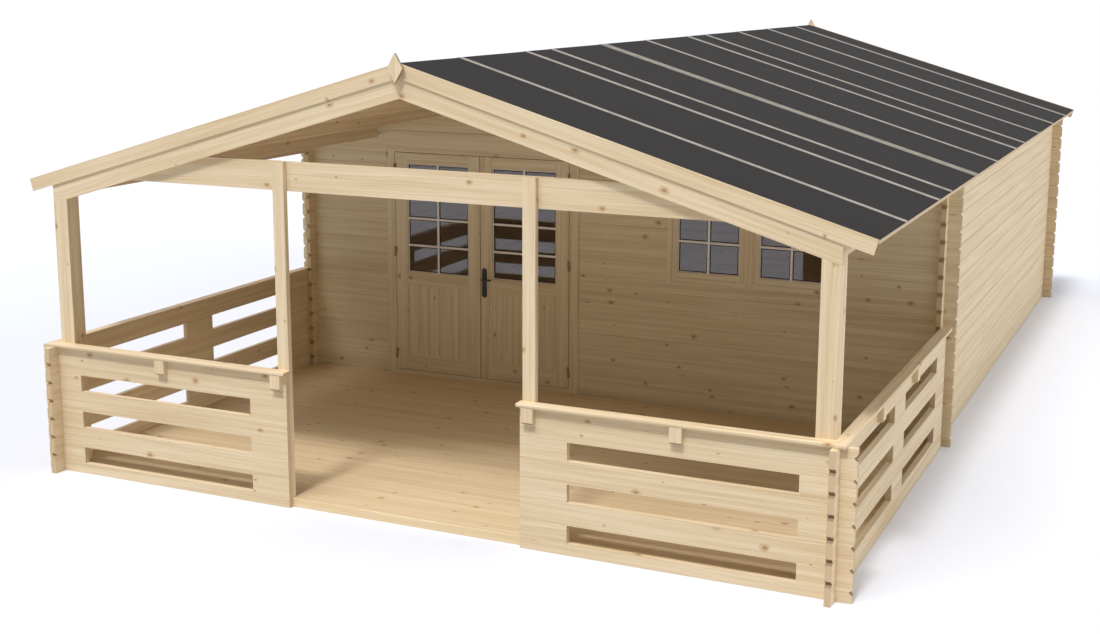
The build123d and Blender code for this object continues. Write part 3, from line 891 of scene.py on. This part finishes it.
@dataclass
class LogWalls:
    """The interlocking log walls, gables and balustrade panels."""

    nodes: Mapping[str, bpy.types.Object]
    log_height: float = 0.135
    plate_height: float = 0.6
    # A lighter painted notch shade, for walls whose notches already lie in shade.
    sheltered: Colour = (166, 136, 97)

    def finish_all(self) -> None:
        """Dresses every log piece with its own run of grain."""
        rows, half = self.log_height, self.log_height / 2
        level = WoodFinish("front_panel_logs", Grain.ACROSS, row=rows, row_start=half, seed=160.0)
        side = replace(
            level, name="side_panel_logs", grain=Grain.BACK, row_start=0.0, row_change=0.05,
            knot_share=0.4, seed=200.0,
        )
        flank = replace(
            side, name="side_logs", pale=(237, 218, 184), deep=(211, 184, 142),
            notch=self.sheltered, joint_share=0.42, seed=40.0,
        )
        # The porch wall takes the porch's shaded copy of the wood.
        front = replace(level, name="front_logs", notch=self.sheltered, seed=0.0, **PORCH_SHADE_WOOD)
        rear = replace(level, name="back_logs", joint_share=0.3, seed=80.0)
        other = replace(side, name="far_panel_logs", notch=self.sheltered, seed=240.0)
        plate = replace(side, name="plate_logs", row=self.plate_height, seed=280.0)
        for finish, *names in (
            (front, "front_wall_left", "front_wall_right", "front_gable"),
            (rear, "back_wall", "back_gable"),
            (flank, "right_wall"),
            (replace(flank, name="left_logs", seed=120.0), "left_wall"),
            (level, "front_balustrade_left", "front_balustrade_right"),
            (side, "side_balustrade_right"),
            (other, "side_balustrade_left"),
            (plate, "wall_plates"),
        ):
            dress(self.nodes, finish, *names)


@dataclass
class RoofFrame:
    """Purlins, rafters, tie beam, barge boards, finials and posts."""

    nodes: Mapping[str, bpy.types.Object]
    beam_row: float = 0.4
    barge_width: float = 0.092
    barge_depth: float = 0.012
    packing_share: float = 0.6
    pitch: float = ROOF_PITCH

    def finish_all(self) -> None:
        """Dresses the beams with grain along each of them, and adds the thin front boards."""
        beam = WoodFinish("purlin_wood", Grain.BACK, row=self.beam_row, seed=320.0)
        dress(self.nodes, beam, "ridge_purlin", "purlins")
        tie = replace(beam, name="tie_beam_wood", grain=Grain.ACROSS, seed=360.0)
        dress(self.nodes, tie, "tie_beam")
        post = replace(beam, name="post_wood", grain=Grain.UP, seed=400.0)
        post_wood = dress(self.nodes, post, "corner_posts", "entry_posts", "finials")
        for side, grain in ((Side.LEFT, Grain.LEFT_RAFTER), (Side.RIGHT, Grain.RIGHT_RAFTER)):
            name, seed = f"barge_wood_{side.word}", 440.0 + side.value
            slope = replace(beam, name=name, grain=grain, seed=seed)
            wood = dress(self.nodes, slope, f"back_barge_{side.word}", f"front_rafter_{side.word}")
            self._front_barge(side, wood)
        self._packing(post_wood)

    def _front_barge(self, side: Side, wood: bpy.types.Material) -> bpy.types.Object:
        """Cuts a front barge board, mitred at the ridge and square at the eave.

        Args:
            side: Which slope.
            wood: The board's material.

        Returns:
            The board.
        """
        node = f"front_barge_{side.word}"
        low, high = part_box(node)
        rise, run = math.sin(self.pitch), math.cos(self.pitch)
        reach = high.x - low.x
        eave = high.z - reach * rise / run
        outline = (
            (0.0, high.z),
            (reach, eave),
            (reach - self.barge_width * rise, eave - self.barge_width * run),
            (0.0, high.z - self.barge_width / run),
        )
        bench = Workbench()
        corners = [Vector((x * side.value, high.y, z)) for x, z in outline]
        bench.prism(corners, -BACKWARD * self.barge_depth)
        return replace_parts(bench.piece(f"barge_board_{side.word}", wood, HOUSE, "beam_wood"), node)

    def _packing(self, wood: bpy.types.Material) -> bpy.types.Object:
        """Packs out the front finial from the barge boards.

        Args:
            wood: The packing's material.

        Returns:
            The packing piece.
        """
        low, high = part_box("finials")
        near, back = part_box("front_barge_left")
        middle, half = (low.z + high.z) / 2, (high.z - low.z) / 2 * self.packing_share
        wide = high.x * self.packing_share
        diamond = ((0, half), (wide, 0), (0, -half), (-wide, 0))
        bench = Workbench()
        corners = [Vector((x, near.y, middle + z)) for x, z in diamond]
        bench.prism(corners, BACKWARD * (back.y - self.barge_depth - near.y))
        return bench.piece("finial_packing", wood, HOUSE, "beam_wood")


@dataclass
class Handrails:
    """The rails on the balustrades and the blocks that carry them."""

    nodes: Mapping[str, bpy.types.Object]
    rail_row: float = 0.3

    def finish_all(self) -> None:
        """Dresses the rails and their brackets."""
        level = WoodFinish("front_rail_wood", Grain.ACROSS, row=self.rail_row, seed=480.0)
        side = replace(level, name="side_rail_wood", grain=Grain.BACK, seed=520.0)
        block = replace(level, name="bracket_wood", grain=Grain.UP, knot_share=0.2, seed=560.0)
        dress(self.nodes, level, "front_rail_left", "front_rail_right")
        dress(self.nodes, side, "side_rail_left", "side_rail_right")
        dress(self.nodes, block, "rail_brackets")


@dataclass
class RoofBoards:
    """The roof boards, which run from the ridge to the eaves."""

    board_width: float = 0.0965
    joint: float = 0.004
    pitch: float = ROOF_PITCH

    def build(self, side: Side) -> bpy.types.Object:
        """Lays the boards of one slope.

        Args:
            side: Which slope.

        Returns:
            The boards.
        """
        node = f"roof_deck_{side.word}"
        low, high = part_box(node)
        reach = (high.x - low.x) * side.value
        fall = Vector((reach, 0.0, -abs(reach) * math.tan(self.pitch)))
        depth = high.z - low.z + fall.z
        count = round((high.y - low.y) / self.board_width)
        width = (high.y - low.y) / count
        bench = Workbench()
        for place in range(count):
            corner = Vector((0.0, low.y + width * place, high.z))
            bench.board(corner, fall, BACKWARD * width, UPWARD * -depth, self.joint)
        grain = Grain.LEFT_SLOPE if side is Side.LEFT else Grain.RIGHT_SLOPE
        name, seed = f"roof_board_wood_{side.word}", 600.0 + 40 * side.value
        wood = WoodFinish(name, grain, row=width, row_start=low.y, seed=seed)
        made = bench.piece(f"roof_boards_{side.word}", wood.material(), HOUSE, "roof_boards")
        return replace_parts(made, node)


@dataclass
class RoofFelt:
    """Strips of felt over each slope, with a pale edge at every lap."""

    laps: tuple[tuple[float, float, float], ...] = (
        (0.865, 0.778, 0.055),
        (1.895, 1.800, 0.060),
        (2.345, 2.257, 0.060),
        (3.350, 3.265, 0.140),
        (4.335, 4.235, 0.060),
        (5.410, 5.280, 0.070),
        (5.920, 5.815, 0.065),
        (6.950, 6.810, 0.065),
        (8.000, 7.885, 0.075),
        (9.090, 8.940, 0.075),
    )
    dull: tuple[int, ...] = (3,)
    front_face: float = -4.850
    raised: float = 0.0033
    sunk: float = 0.0012
    tape: float = 0.0006
    ripple: float = 0.0003
    steps: int = 16
    rows: int = 6
    seed: int = 7
    pitch: float = ROOF_PITCH

    def build(self, side: Side) -> list[bpy.types.Object]:
        """Lays the felt of one slope.

        Args:
            side: Which slope.

        Returns:
            The strips of felt and their pale edges.
        """
        node = f"roof_felt_{side.word}"
        low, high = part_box(node)
        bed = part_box(f"roof_deck_{side.word}")[1].z
        reach = (high.x - low.x) * side.value
        edges = [(low.y, low.y)]
        for ridge, eave, _ in self.laps:
            edges.append((self.front_face + ridge, self.front_face + eave))
        edges.append((high.y, high.y))
        luck = random.Random(self.seed + int(side.value))
        felt, bright, dull = Workbench(), Workbench(), Workbench()
        for near, far in zip(edges, edges[1:]):
            self._strip(felt, reach, bed, near, far, luck)
        for place, ((ridge, eave), (_, _, width)) in enumerate(zip(edges[1:], self.laps)):
            start = ridge - width / 2
            top = bed + self.raised + self.tape
            section = ((start, bed), (start + width, bed), (start + width, top), (start, top))
            outline = [Vector((0.0, y, z)) for y, z in section]
            tape = dull if place in self.dull else bright
            tape.prism(outline, Vector((reach, eave - ridge, -abs(reach) * math.tan(self.pitch))))
        black = FeltFinish(f"felt_{side.word}")
        clean = TapeFinish(f"felt_lap_{side.word}")
        dirty = replace(
            clean, name=f"felt_dull_lap_{side.word}", pale=(144, 138, 127), worn=(124, 119, 109)
        )
        sheet = felt.piece(f"felt_strips_{side.word}", black.material(), HOUSE, "roof_felt")
        return [
            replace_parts(sheet, node),
            bright.piece(f"felt_laps_{side.word}", clean.material(), HOUSE, "roof_felt"),
            dull.piece(f"felt_dull_laps_{side.word}", dirty.material(), HOUSE, "roof_felt"),
        ]

    def _strip(
        self, bench: Workbench, reach: float, bed: float, near: Band, far: Band, luck: random.Random
    ) -> None:
        """Adds one strip, highest at its front edge, with a faint ripple.

        Args:
            bench: Where the strip is added.
            reach: The level reach of the slope, with its sign.
            bed: The height of the boards at the ridge.
            near: The strip's front edge at the ridge and at the eave.
            far: Its back edge there.
            luck: The source of the ripple.
        """
        fall = math.tan(self.pitch)
        tops, feet = [], []
        for step in range(self.steps + 1):
            x = reach * step / self.steps
            front = near[0] + (near[1] - near[0]) * step / self.steps
            back = far[0] + (far[1] - far[0]) * step / self.steps
            ground = bed - abs(x) * fall
            top_row, foot_row = [], []
            for place in range(self.rows + 1):
                share = place / self.rows
                y = front + (back - front) * share
                height = self.raised + (self.sunk - self.raised) * share
                inner = 0 < place < self.rows and 0 < step < self.steps
                height += luck.uniform(-self.ripple, self.ripple) if inner else 0.0
                top_row.append(bench.mesh.verts.new((x, y, ground + height)))
                foot_row.append(bench.mesh.verts.new((x, y, ground)))
            tops.append(top_row)
            feet.append(foot_row)
        for grid in (tops, feet):
            bench.skin(grid)
        for place in (0, self.rows):
            bench.skin([[row[place] for row in grid] for grid in (tops, feet)])
        for step in (0, self.steps):
            bench.skin([tops[step], feet[step]])


@dataclass
class Floors:
    """The boarded floors of the veranda and the house."""

    nodes: Mapping[str, bpy.types.Object]
    board_width: float = 0.114
    gap: float = 0.001
    chamfer: float = 0.0008
    board_depth: float = 0.02
    notch_reach: float = 0.04
    notch_length: float = 0.1
    nosing: float = 0.01
    sill_depth: float = 0.04

    def finish_joists(self) -> None:
        """Dresses the joists under the boards."""
        wood = WoodFinish("joist_wood", Grain.BACK, row=ONE_BOARD, seed=700.0)
        dress(self.nodes, wood, "floor_joists")

    def build(self, node: str, name: str, seed: float) -> bpy.types.Object:
        """Lays one floor in boards from side to side.

        Args:
            node: The CAD floor that the boards stand for.
            name: The piece's name.
            seed: What sets its grain apart from the other floor's.

        Returns:
            The boards.
        """
        low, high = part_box(node)
        base = high.z - self.board_depth
        has_sill = low.z < base - self.gap
        first = low.y + (self.nosing if has_sill else 0.0)
        count = round((high.y - first) / self.board_width)
        pitch = (high.y - first) / count
        bench = Workbench()
        for place in range(count):
            start = first + pitch * place
            end_gap = self.gap if place < count - 1 else 0.0
            notched = has_sill and start + pitch > high.y - self.notch_length
            trim = self.notch_reach if notched else 0.0
            run, width = RIGHTWARD * (high.x - low.x - 2 * trim), BACKWARD * (pitch - end_gap)
            corner = Vector((low.x + trim, start, base))
            bench.board(corner, run, width, UPWARD * self.board_depth, self.chamfer)
        if has_sill:
            corner, run = Vector((low.x, first, low.z)), RIGHTWARD * (high.x - low.x)
            width, depth = BACKWARD * self.sill_depth, UPWARD * (base - low.z)
            bench.board(corner, run, width, depth, self.chamfer)
            self._nosing(name, low, high)
        wood = WoodFinish(
            f"{name}_wood", Grain.LEVEL, pale=(225, 204, 169), deep=(197, 167, 123),
            row=pitch, row_start=low.y, row_change=0.08, knot_share=0.62, seed=seed,
        )
        made = bench.piece(name, wood.material(), HOUSE, "floor_wood")
        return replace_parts(made, node)

    def _nosing(self, name: str, low: Vector, high: Vector) -> bpy.types.Object:
        """Closes the front of a floor with a planed board.

        Args:
            name: The floor's name.
            low: The floor's lowest corner.
            high: Its highest corner.

        Returns:
            The board.
        """
        bench = Workbench()
        corner = Vector((low.x, low.y + self.nosing - self.gap, low.z))
        run, width = RIGHTWARD * (high.x - low.x), UPWARD * (high.z - low.z)
        bench.board(corner, run, width, BACKWARD * (self.gap - self.nosing), self.chamfer)
        wood = WoodFinish(
            f"{name}_nosing_wood", Grain.ACROSS, pale=(247, 226, 187), deep=(221, 190, 140),
            row=ONE_BOARD, seed=1060.0,
        )
        return bench.piece(f"{name}_nosing", wood.material(), HOUSE, "floor_wood")


@dataclass
class Glazing:
    """Painted bars, beads and dark seals on both faces of the panes."""

    bar: float = 0.02
    bead: float = 0.009
    chamfer: float = 0.004
    bite: float = 0.0004
    seal: float = 0.007
    seal_depth: float = 0.0022
    cross_share: float = 0.98
    bead_share: float = 0.8
    end_share: float = 0.99

    def build(
        self, title: str, body: str, panes: Sequence[tuple[Vector, Vector]], faces: Band,
        lights: tuple[int, int],
    ) -> list[bpy.types.Object]:
        """Makes the bars, beads and seals of some panes.

        Args:
            title: The pieces' names, with a gap for their kind.
            body: The body that the panes move with.
            panes: Each pane's lowest and highest corners.
            faces: Where the bars end in front and behind.
            lights: How many lights there are side by side and one above another.

        Returns:
            The bars with the beads, and the seals.
        """
        bars, seals = Workbench(), Workbench()
        for low, high in panes:
            for glass, face in ((low.y + self.bite, faces[0]), (high.y - self.bite, faces[1])):
                self._face(bars, seals, (low, high), glass, face - glass, lights)
        coat = replace(BAR_PAINT, name=title.format("bar_paint"))
        rubber = replace(SEAL_RUBBER, name=title.format("seal_rubber"))
        return [
            bars.piece(title.format("bars"), coat.material(), body, "joinery_wood"),
            seals.piece(title.format("seals"), rubber.material(), body, "joinery_wood"),
        ]

    def _face(
        self, bars: Workbench, seals: Workbench, pane: tuple[Vector, Vector], glass: float,
        stand: float, lights: tuple[int, int],
    ) -> None:
        """Adds the bars, beads and seals on one face of a pane.

        Args:
            bars: Where the bars and beads are added.
            seals: Where the seals are added.
            pane: The pane's lowest and highest corners.
            glass: The glass's face.
            stand: How far the bars stand off it, with its sign.
            lights: How many lights there are side by side and one above another.
        """
        (low, high), (columns, rows), half = pane, lights, self.bar / 2
        depth = BACKWARD * stand
        wide, tall = (high.x - low.x) / columns, (high.z - low.z) / rows
        for place in range(1, columns):
            corner = Vector((low.x + wide * place - half, glass, low.z))
            run = UPWARD * (high.z - low.z)
            bars.board(corner, run, RIGHTWARD * self.bar, depth, self.chamfer)
        for place in range(1, rows):
            corner = Vector((low.x, glass, low.z + tall * place - half))
            run = RIGHTWARD * (high.x - low.x)
            bars.board(corner, run, UPWARD * self.bar, depth * self.cross_share, self.chamfer)
        self._frame(bars, low, high, glass, depth * self.bead_share, self.bead, self.chamfer)
        thick = depth.normalized() * self.seal_depth
        for column in range(columns):
            for row in range(rows):
                left, foot = low.x + wide * column, low.z + tall * row
                inner = Vector((left + half, 0, foot + half))
                outer = Vector((left + wide - half, 0, foot + tall - half))
                self._frame(seals, inner, outer, glass, thick, self.seal, self.seal_depth / 3)

    def _frame(
        self, bench: Workbench, low: Vector, high: Vector, glass: float, depth: Vector,
        width: float, chamfer: float,
    ) -> None:
        """Adds four strips round an opening.

        Args:
            bench: Where they are added.
            low: The opening's lowest corner.
            high: Its highest corner.
            glass: The glass's face.
            depth: How far the strips stand off it.
            width: How wide they are.
            chamfer: The size of their chamfers.
        """
        across, up = RIGHTWARD * (high.x - low.x), UPWARD * (high.z - low.z)
        for x in (low.x, high.x - width):
            bench.board(Vector((x, glass, low.z)), up, RIGHTWARD * width, depth, chamfer)
        for z in (low.z, high.z - width):
            corner, ends = Vector((low.x, glass, z)), depth * self.end_share
            bench.board(corner, across, UPWARD * width, ends, chamfer)


@dataclass
class FrenchDoors:
    """The two door leaves with their frame, glass and hinges."""

    nodes: Mapping[str, bpy.types.Object]
    bars_inset: float = 0.005
    columns: int = 2
    rows: int = 4
    boards: int = 6
    board_bed: float = 0.0095
    board_sunk: float = 0.0015
    board_low: float = 0.250
    board_high: float = 0.876
    board_joint: float = 0.0035
    head_row: float = 0.6

    def finish_all(self) -> None:
        """Dresses the frame, glass and hinges."""
        # The door frame takes the porch's shaded copy of the wood.
        upright = WoodFinish("door_jamb_wood", Grain.UP, row=ONE_BOARD, seed=740.0, **PORCH_SHADE_WOOD)
        level = replace(
            upright, name="door_head_wood", grain=Grain.ACROSS, row=self.head_row, seed=780.0
        )
        dress(self.nodes, upright, "door_jambs")
        dress(self.nodes, level, "door_head", "door_threshold")
        dress(self.nodes, HINGE_STEEL, "frame_hinges", "leaf_hinges_left", "leaf_hinges_right")
        dress(self.nodes, GlassFinish("door_glass"), "door_glass_left", "door_glass_right")

    def build(self, side: Side) -> list[bpy.types.Object]:
        """Dresses one leaf and adds its bars and boards.

        Args:
            side: Which leaf.

        Returns:
            The pieces.
        """
        body = f"door_{side.word}"
        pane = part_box(f"door_glass_{side.word}")
        low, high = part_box(f"door_leaf_{side.word}")
        band = (pane[0].x, pane[1].x)
        # The leaf takes the porch's shaded copy of the wood.
        leaf_wood = WoodFinish(
            f"door_leaf_wood_{side.word}", Grain.UP, row=ONE_BOARD, bands=(band,),
            seed=820.0 + side.value, **PORCH_SHADE_WOOD,
        )
        dress(self.nodes, leaf_wood, f"door_leaf_{side.word}")
        faces = (low.y + self.bars_inset, high.y - self.bars_inset)
        title, lights = f"door_{{}}_{side.word}", (self.columns, self.rows)
        glazed = Glazing().build(title, body, [pane], faces, lights)
        return [*glazed, self._boards(side, low, high, band, body)]

    def _boards(
        self, side: Side, low: Vector, high: Vector, band: Band, body: str
    ) -> bpy.types.Object:
        """Fills the lower panel of a leaf with upright boards on both faces.

        Args:
            side: Which leaf.
            low: The leaf's lowest corner.
            high: Its highest corner.
            band: The panel's left and right edges.
            body: The body that the leaf moves with.

        Returns:
            The boards.
        """
        bench = Workbench()
        width = (band[1] - band[0]) / self.boards
        tall = UPWARD * (self.board_high - self.board_low)
        for face, way in ((low.y, -1.0), (high.y, 1.0)):
            bed, depth = face - way * self.board_bed, way * (self.board_bed - self.board_sunk)
            for place in range(self.boards):
                corner = Vector((band[0] + width * place, bed, self.board_low))
                bench.board(corner, tall, RIGHTWARD * width, BACKWARD * depth, self.board_joint)
        # The boards take the porch's shaded copy of the wood.
        wood = WoodFinish(
            f"door_board_wood_{side.word}", Grain.UP, row=width, row_start=band[0],
            seed=860.0 + side.value, **PORCH_SHADE_WOOD,
        )
        return bench.piece(f"door_boards_{side.word}", wood.material(), body, "joinery_wood")


@dataclass
class DoorHandle:
    """A long-plate lever handle on both faces of the right leaf."""

    plate_width: float = 0.048
    plate_bevel: float = 0.0022
    plate_depth: float = 0.005
    end_bevel: float = 0.16
    collar: Band = (0.004, 0.006)
    neck_radii: tuple[float, ...] = (0.013, 0.013, 0.009, 0.0085, 0.0088)
    lever_height: float = 0.994
    lever_radius: float = 0.009
    lever_start: float = 0.9
    lever_dip: float = 0.0012
    lever_sweep: float = 0.004
    lever_taper: tuple[Band, Band] = ((0.8, 0.25), (1.0, 0.12))
    lever_steps: int = 8
    key_height: float = 0.905
    key_radius: float = 0.0085
    key_rise: float = 0.002
    around: int = 20

    def build(self) -> bpy.types.Object:
        """Shapes the plates, levers and key rings.

        Returns:
            The handle.
        """
        low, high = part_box("door_handle")
        leaf_low, leaf_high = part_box("door_leaf_right")
        middle = low.x + self.plate_width / 2
        bench = Workbench()
        for face, way, limit in ((leaf_low.y, -1.0, low.y), (leaf_high.y, 1.0, high.y)):
            self._plate(bench, low, high, middle, face, way)
            self._lever(bench, middle, high.x, face, way, limit)
        made = bench.piece("lever_handle", HANDLE_BLACK.material(), "door_right", "handle_metal")
        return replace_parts(made, "door_handle")

    def _plate(
        self, bench: Workbench, low: Vector, high: Vector, middle: float, face: float, way: float
    ) -> None:
        """Adds one long plate with rounded ends and its key ring.

        Args:
            bench: Where it is added.
            low: The handle's lowest corner.
            high: Its highest corner.
            middle: The plate's middle.
            face: The leaf's face.
            way: Which way the face looks.
        """
        outline = []
        radius = self.plate_width / 2
        for centre, turn in ((high.z - radius, 0.0), (low.z + radius, math.pi)):
            for step in range(self.around // 2 + 1):
                angle = turn + math.pi * step / (self.around // 2)
                x, z = radius * math.cos(angle), radius * math.sin(angle)
                outline.append(Vector((middle + x, face, centre + z)))
        bench.prism(outline, BACKWARD * (way * (self.plate_depth - self.plate_bevel)))
        tall = (low.z + high.z) / 2
        share = 1.0 - 2 * self.plate_bevel / self.plate_width
        end_share = 1.0 - (1.0 - share) * self.end_bevel
        inner = []
        for corner in outline:
            x, z = (corner.x - middle) * share, (corner.z - tall) * end_share
            inner.append(Vector((middle + x, face, tall + z)))
        bench.prism(inner, BACKWARD * (way * self.plate_depth))
        ring = []
        for step in range(self.around):
            angle = 2 * math.pi * step / self.around
            x, z = self.key_radius * math.cos(angle), self.key_radius * math.sin(angle)
            ring.append(Vector((middle + x, face, self.key_height + z)))
        bench.prism(ring, BACKWARD * (way * (self.plate_depth + self.key_rise)))

    def _lever(
        self, bench: Workbench, middle: float, tip: float, face: float, way: float, limit: float
    ) -> None:
        """Adds one lever on its neck.

        Args:
            bench: Where it is added.
            middle: The neck's middle.
            tip: The lever's tip.
            face: The leaf's face.
            way: Which way the face looks.
            limit: How far the lever may reach from the leaf.
        """
        base = face + way * self.plate_depth / 2
        out = limit - way * self.lever_radius
        steps = (base, *(base + way * depth for depth in self.collar), (base + out) / 2, out)
        neck = [Vector((middle, y, self.lever_height)) for y in steps]
        bench.tube(neck, [(radius, radius) for radius in self.neck_radii], self.around)
        start = middle - self.lever_radius * self.lever_start
        (wide, wide_loss), (tall, tall_loss) = self.lever_taper
        lever, radii = [], []
        for step in range(self.lever_steps + 1):
            share = step / self.lever_steps
            y = out - way * self.lever_sweep * share * share
            z = self.lever_height - self.lever_dip * math.sin(math.pi * share)
            lever.append(Vector((start + (tip - start) * share, y, z)))
            sizes = (wide - wide_loss * share, tall - tall_loss * share)
            radii.append((self.lever_radius * sizes[0], self.lever_radius * sizes[1]))
        bench.tube(lever, radii, self.around)


@dataclass
class FixedWindow:
    """The window beside the doors, with two barred sashes."""

    nodes: Mapping[str, bpy.types.Object]
    columns: int = 2
    rows: int = 3
    bars_inset: float = 0.0035
    mullion_half: float = 0.038
    pane_width: float = 0.526

    def build(self) -> list[bpy.types.Object]:
        """Dresses the window and adds its bars and seals.

        Returns:
            The pieces.
        """
        low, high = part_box("window_glass")
        sash_low, sash_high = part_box("window_sashes")
        frame_low, frame_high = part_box("window_frame")
        middle, half = (frame_low.x + frame_high.x) / 2, self.mullion_half
        spans = ((low.x, low.x + self.pane_width), (high.x - self.pane_width, high.x))
        sides = ((sash_low.x, middle - half), (middle + half, sash_high.x))
        # The window takes the porch's shaded copy of the wood.
        frame_wood = WoodFinish(
            "window_frame_wood", Grain.UP, row=ONE_BOARD, bands=sides, seed=900.0, **PORCH_SHADE_WOOD
        )
        sash_wood = replace(frame_wood, name="window_sash_wood", bands=spans, seed=940.0)
        dress(self.nodes, frame_wood, "window_frame")
        dress(self.nodes, sash_wood, "window_sashes")
        dress(self.nodes, GlassFinish("window_glass"), "window_glass")
        faces = (sash_low.y + self.bars_inset, sash_high.y - self.bars_inset)
        panes = [
            (Vector((left, low.y, low.z)), Vector((right, high.y, high.z))) for left, right in spans
        ]
        return Glazing().build("window_{}", HOUSE, panes, faces, (self.columns, self.rows))


@dataclass(frozen=True)
class Lamp:
    """A far, soft lamp."""

    name: str
    strength: float
    height: float
    turn: float
    spread: float

    def build(self) -> bpy.types.Object:
        """Hangs the lamp.

        Returns:
            The lamp's object.
        """
        data = bpy.data.lights.new(self.name, "SUN")
        data.energy, data.angle = self.strength, self.spread
        holder = bpy.data.objects.new(self.name, data)
        flat, turn = math.cos(self.height), self.turn
        way = Vector((flat * math.sin(turn), -flat * math.cos(turn), math.sin(self.height)))
        holder.rotation_euler = way.to_track_quat("Z", "Y").to_euler()
        bpy.context.collection.objects.link(holder)
        LOG.info("hung %s", self.name)
        return holder


@dataclass
class Studio:
    """The white floor, the soft light and the camera."""

    floor_reach: float = 300.0
    floor_drop: float = 0.001
    floor_parts: int = 8
    floor_finish: FloorFinish = FloorFinish("studio_floor")
    sky_tint: Colour = (250, 252, 255)
    sky_low: float = 0.16
    sky_high: float = 0.42
    sky_range: Band = (0.1, 0.9)
    lamps: tuple[Lamp, ...] = (
        Lamp("key_sun", 1.55, math.radians(60.5), math.radians(-1.0), math.radians(8.0)),
        Lamp("soft_sun", 1.3, math.radians(63.0), math.radians(-25.0), math.radians(34.0)),
        Lamp("fill_sun", 1.08, math.radians(22.0), math.radians(98.0), math.radians(25.0)),
    )
    camera_place: tuple[float, float, float] = (4.874, -13.159, 3.548)
    camera_tilt: float = math.radians(79.160)
    camera_roll: float = math.radians(-0.158)
    camera_turn: float = math.radians(24.654)
    focal_pixels: float = 1526.9
    photo_width: float = 1100.0
    sensor: float = 36.0
    sight: float = 1000.0
    shift: float = -0.04

    def build(self) -> None:
        """Makes the floor, the light and the camera."""
        bpy.context.scene.view_settings.view_transform = "Standard"
        self._floor()
        self._sky()
        for lamp in self.lamps:
            lamp.build()
        self._camera()

    def _floor(self) -> None:
        """Lays the pale floor."""
        bench, parts = bmesh.new(), self.floor_parts
        bmesh.ops.create_grid(bench, x_segments=parts, y_segments=parts, size=self.floor_reach)
        data = bpy.data.meshes.new("studio_floor")
        bench.to_mesh(data)
        bench.free()
        data.materials.append(self.floor_finish.material())
        floor = bpy.data.objects.new("studio_floor", data)
        floor.location.z = -self.floor_drop
        bpy.context.collection.objects.link(floor)

    def _sky(self) -> None:
        """Lights the studio evenly, and shows the camera, metal and glass plain white."""
        world = bpy.data.worlds.new("studio_sky")
        world.use_nodes = True
        bpy.context.scene.world = world
        g = Graph(world.node_tree)
        rise = g.along(g.coordinates("Generated"), UPWARD).eased(*self.sky_range)
        low, high, white = [
            g.node("ShaderNodeBackground", {}, {"Color": colour, "Strength": strength})
            for colour, strength in (
                (paint(self.sky_tint), self.sky_low),
                (paint(self.sky_tint), self.sky_high),
                ((1.0, 1.0, 1.0, 1.0), 1.0),
            )
        ]
        light = g.node("ShaderNodeMixShader", {}, {0: rise, 1: low, 2: high})
        mixed = g.node("ShaderNodeMixShader", {}, {0: g.looked_at(), 1: light, 2: white})
        g.node("ShaderNodeOutputWorld", {}, {"Surface": mixed})

    def _camera(self) -> None:
        """Sets the camera at the photograph's angle."""
        data = bpy.data.cameras.new("photo_camera")
        data.sensor_width = self.sensor
        data.lens = self.focal_pixels / self.photo_width * self.sensor
        data.shift_y = self.shift
        data.clip_end = self.sight
        camera = bpy.data.objects.new("photo_camera", data)
        camera.location = self.camera_place
        camera.rotation_euler = (self.camera_tilt, self.camera_roll, self.camera_turn)
        bpy.context.collection.objects.link(camera)
        bpy.context.scene.camera = camera


def main() -> None:
    """Builds the whole scene."""
    logging.basicConfig(level=logging.INFO, format="%(name)s: %(message)s")
    for left_over in list(bpy.data.objects):
        bpy.data.objects.remove(left_over)
    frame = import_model()
    nodes = frame["nodes"]
    LogWalls(nodes).finish_all()
    RoofFrame(nodes).finish_all()
    Handrails(nodes).finish_all()
    doors, floors = FrenchDoors(nodes), Floors(nodes)
    doors.finish_all()
    floors.finish_joists()
    for side in Side:
        RoofBoards().build(side)
        RoofFelt().build(side)
        doors.build(side)
    floors.build("veranda_floor", "veranda_boards", 980.0)
    floors.build("house_floor", "house_boards", 1020.0)
    FixedWindow(nodes).build()
    DoorHandle().build()
    Studio().build()


if __name__ == "__main__":
    main()
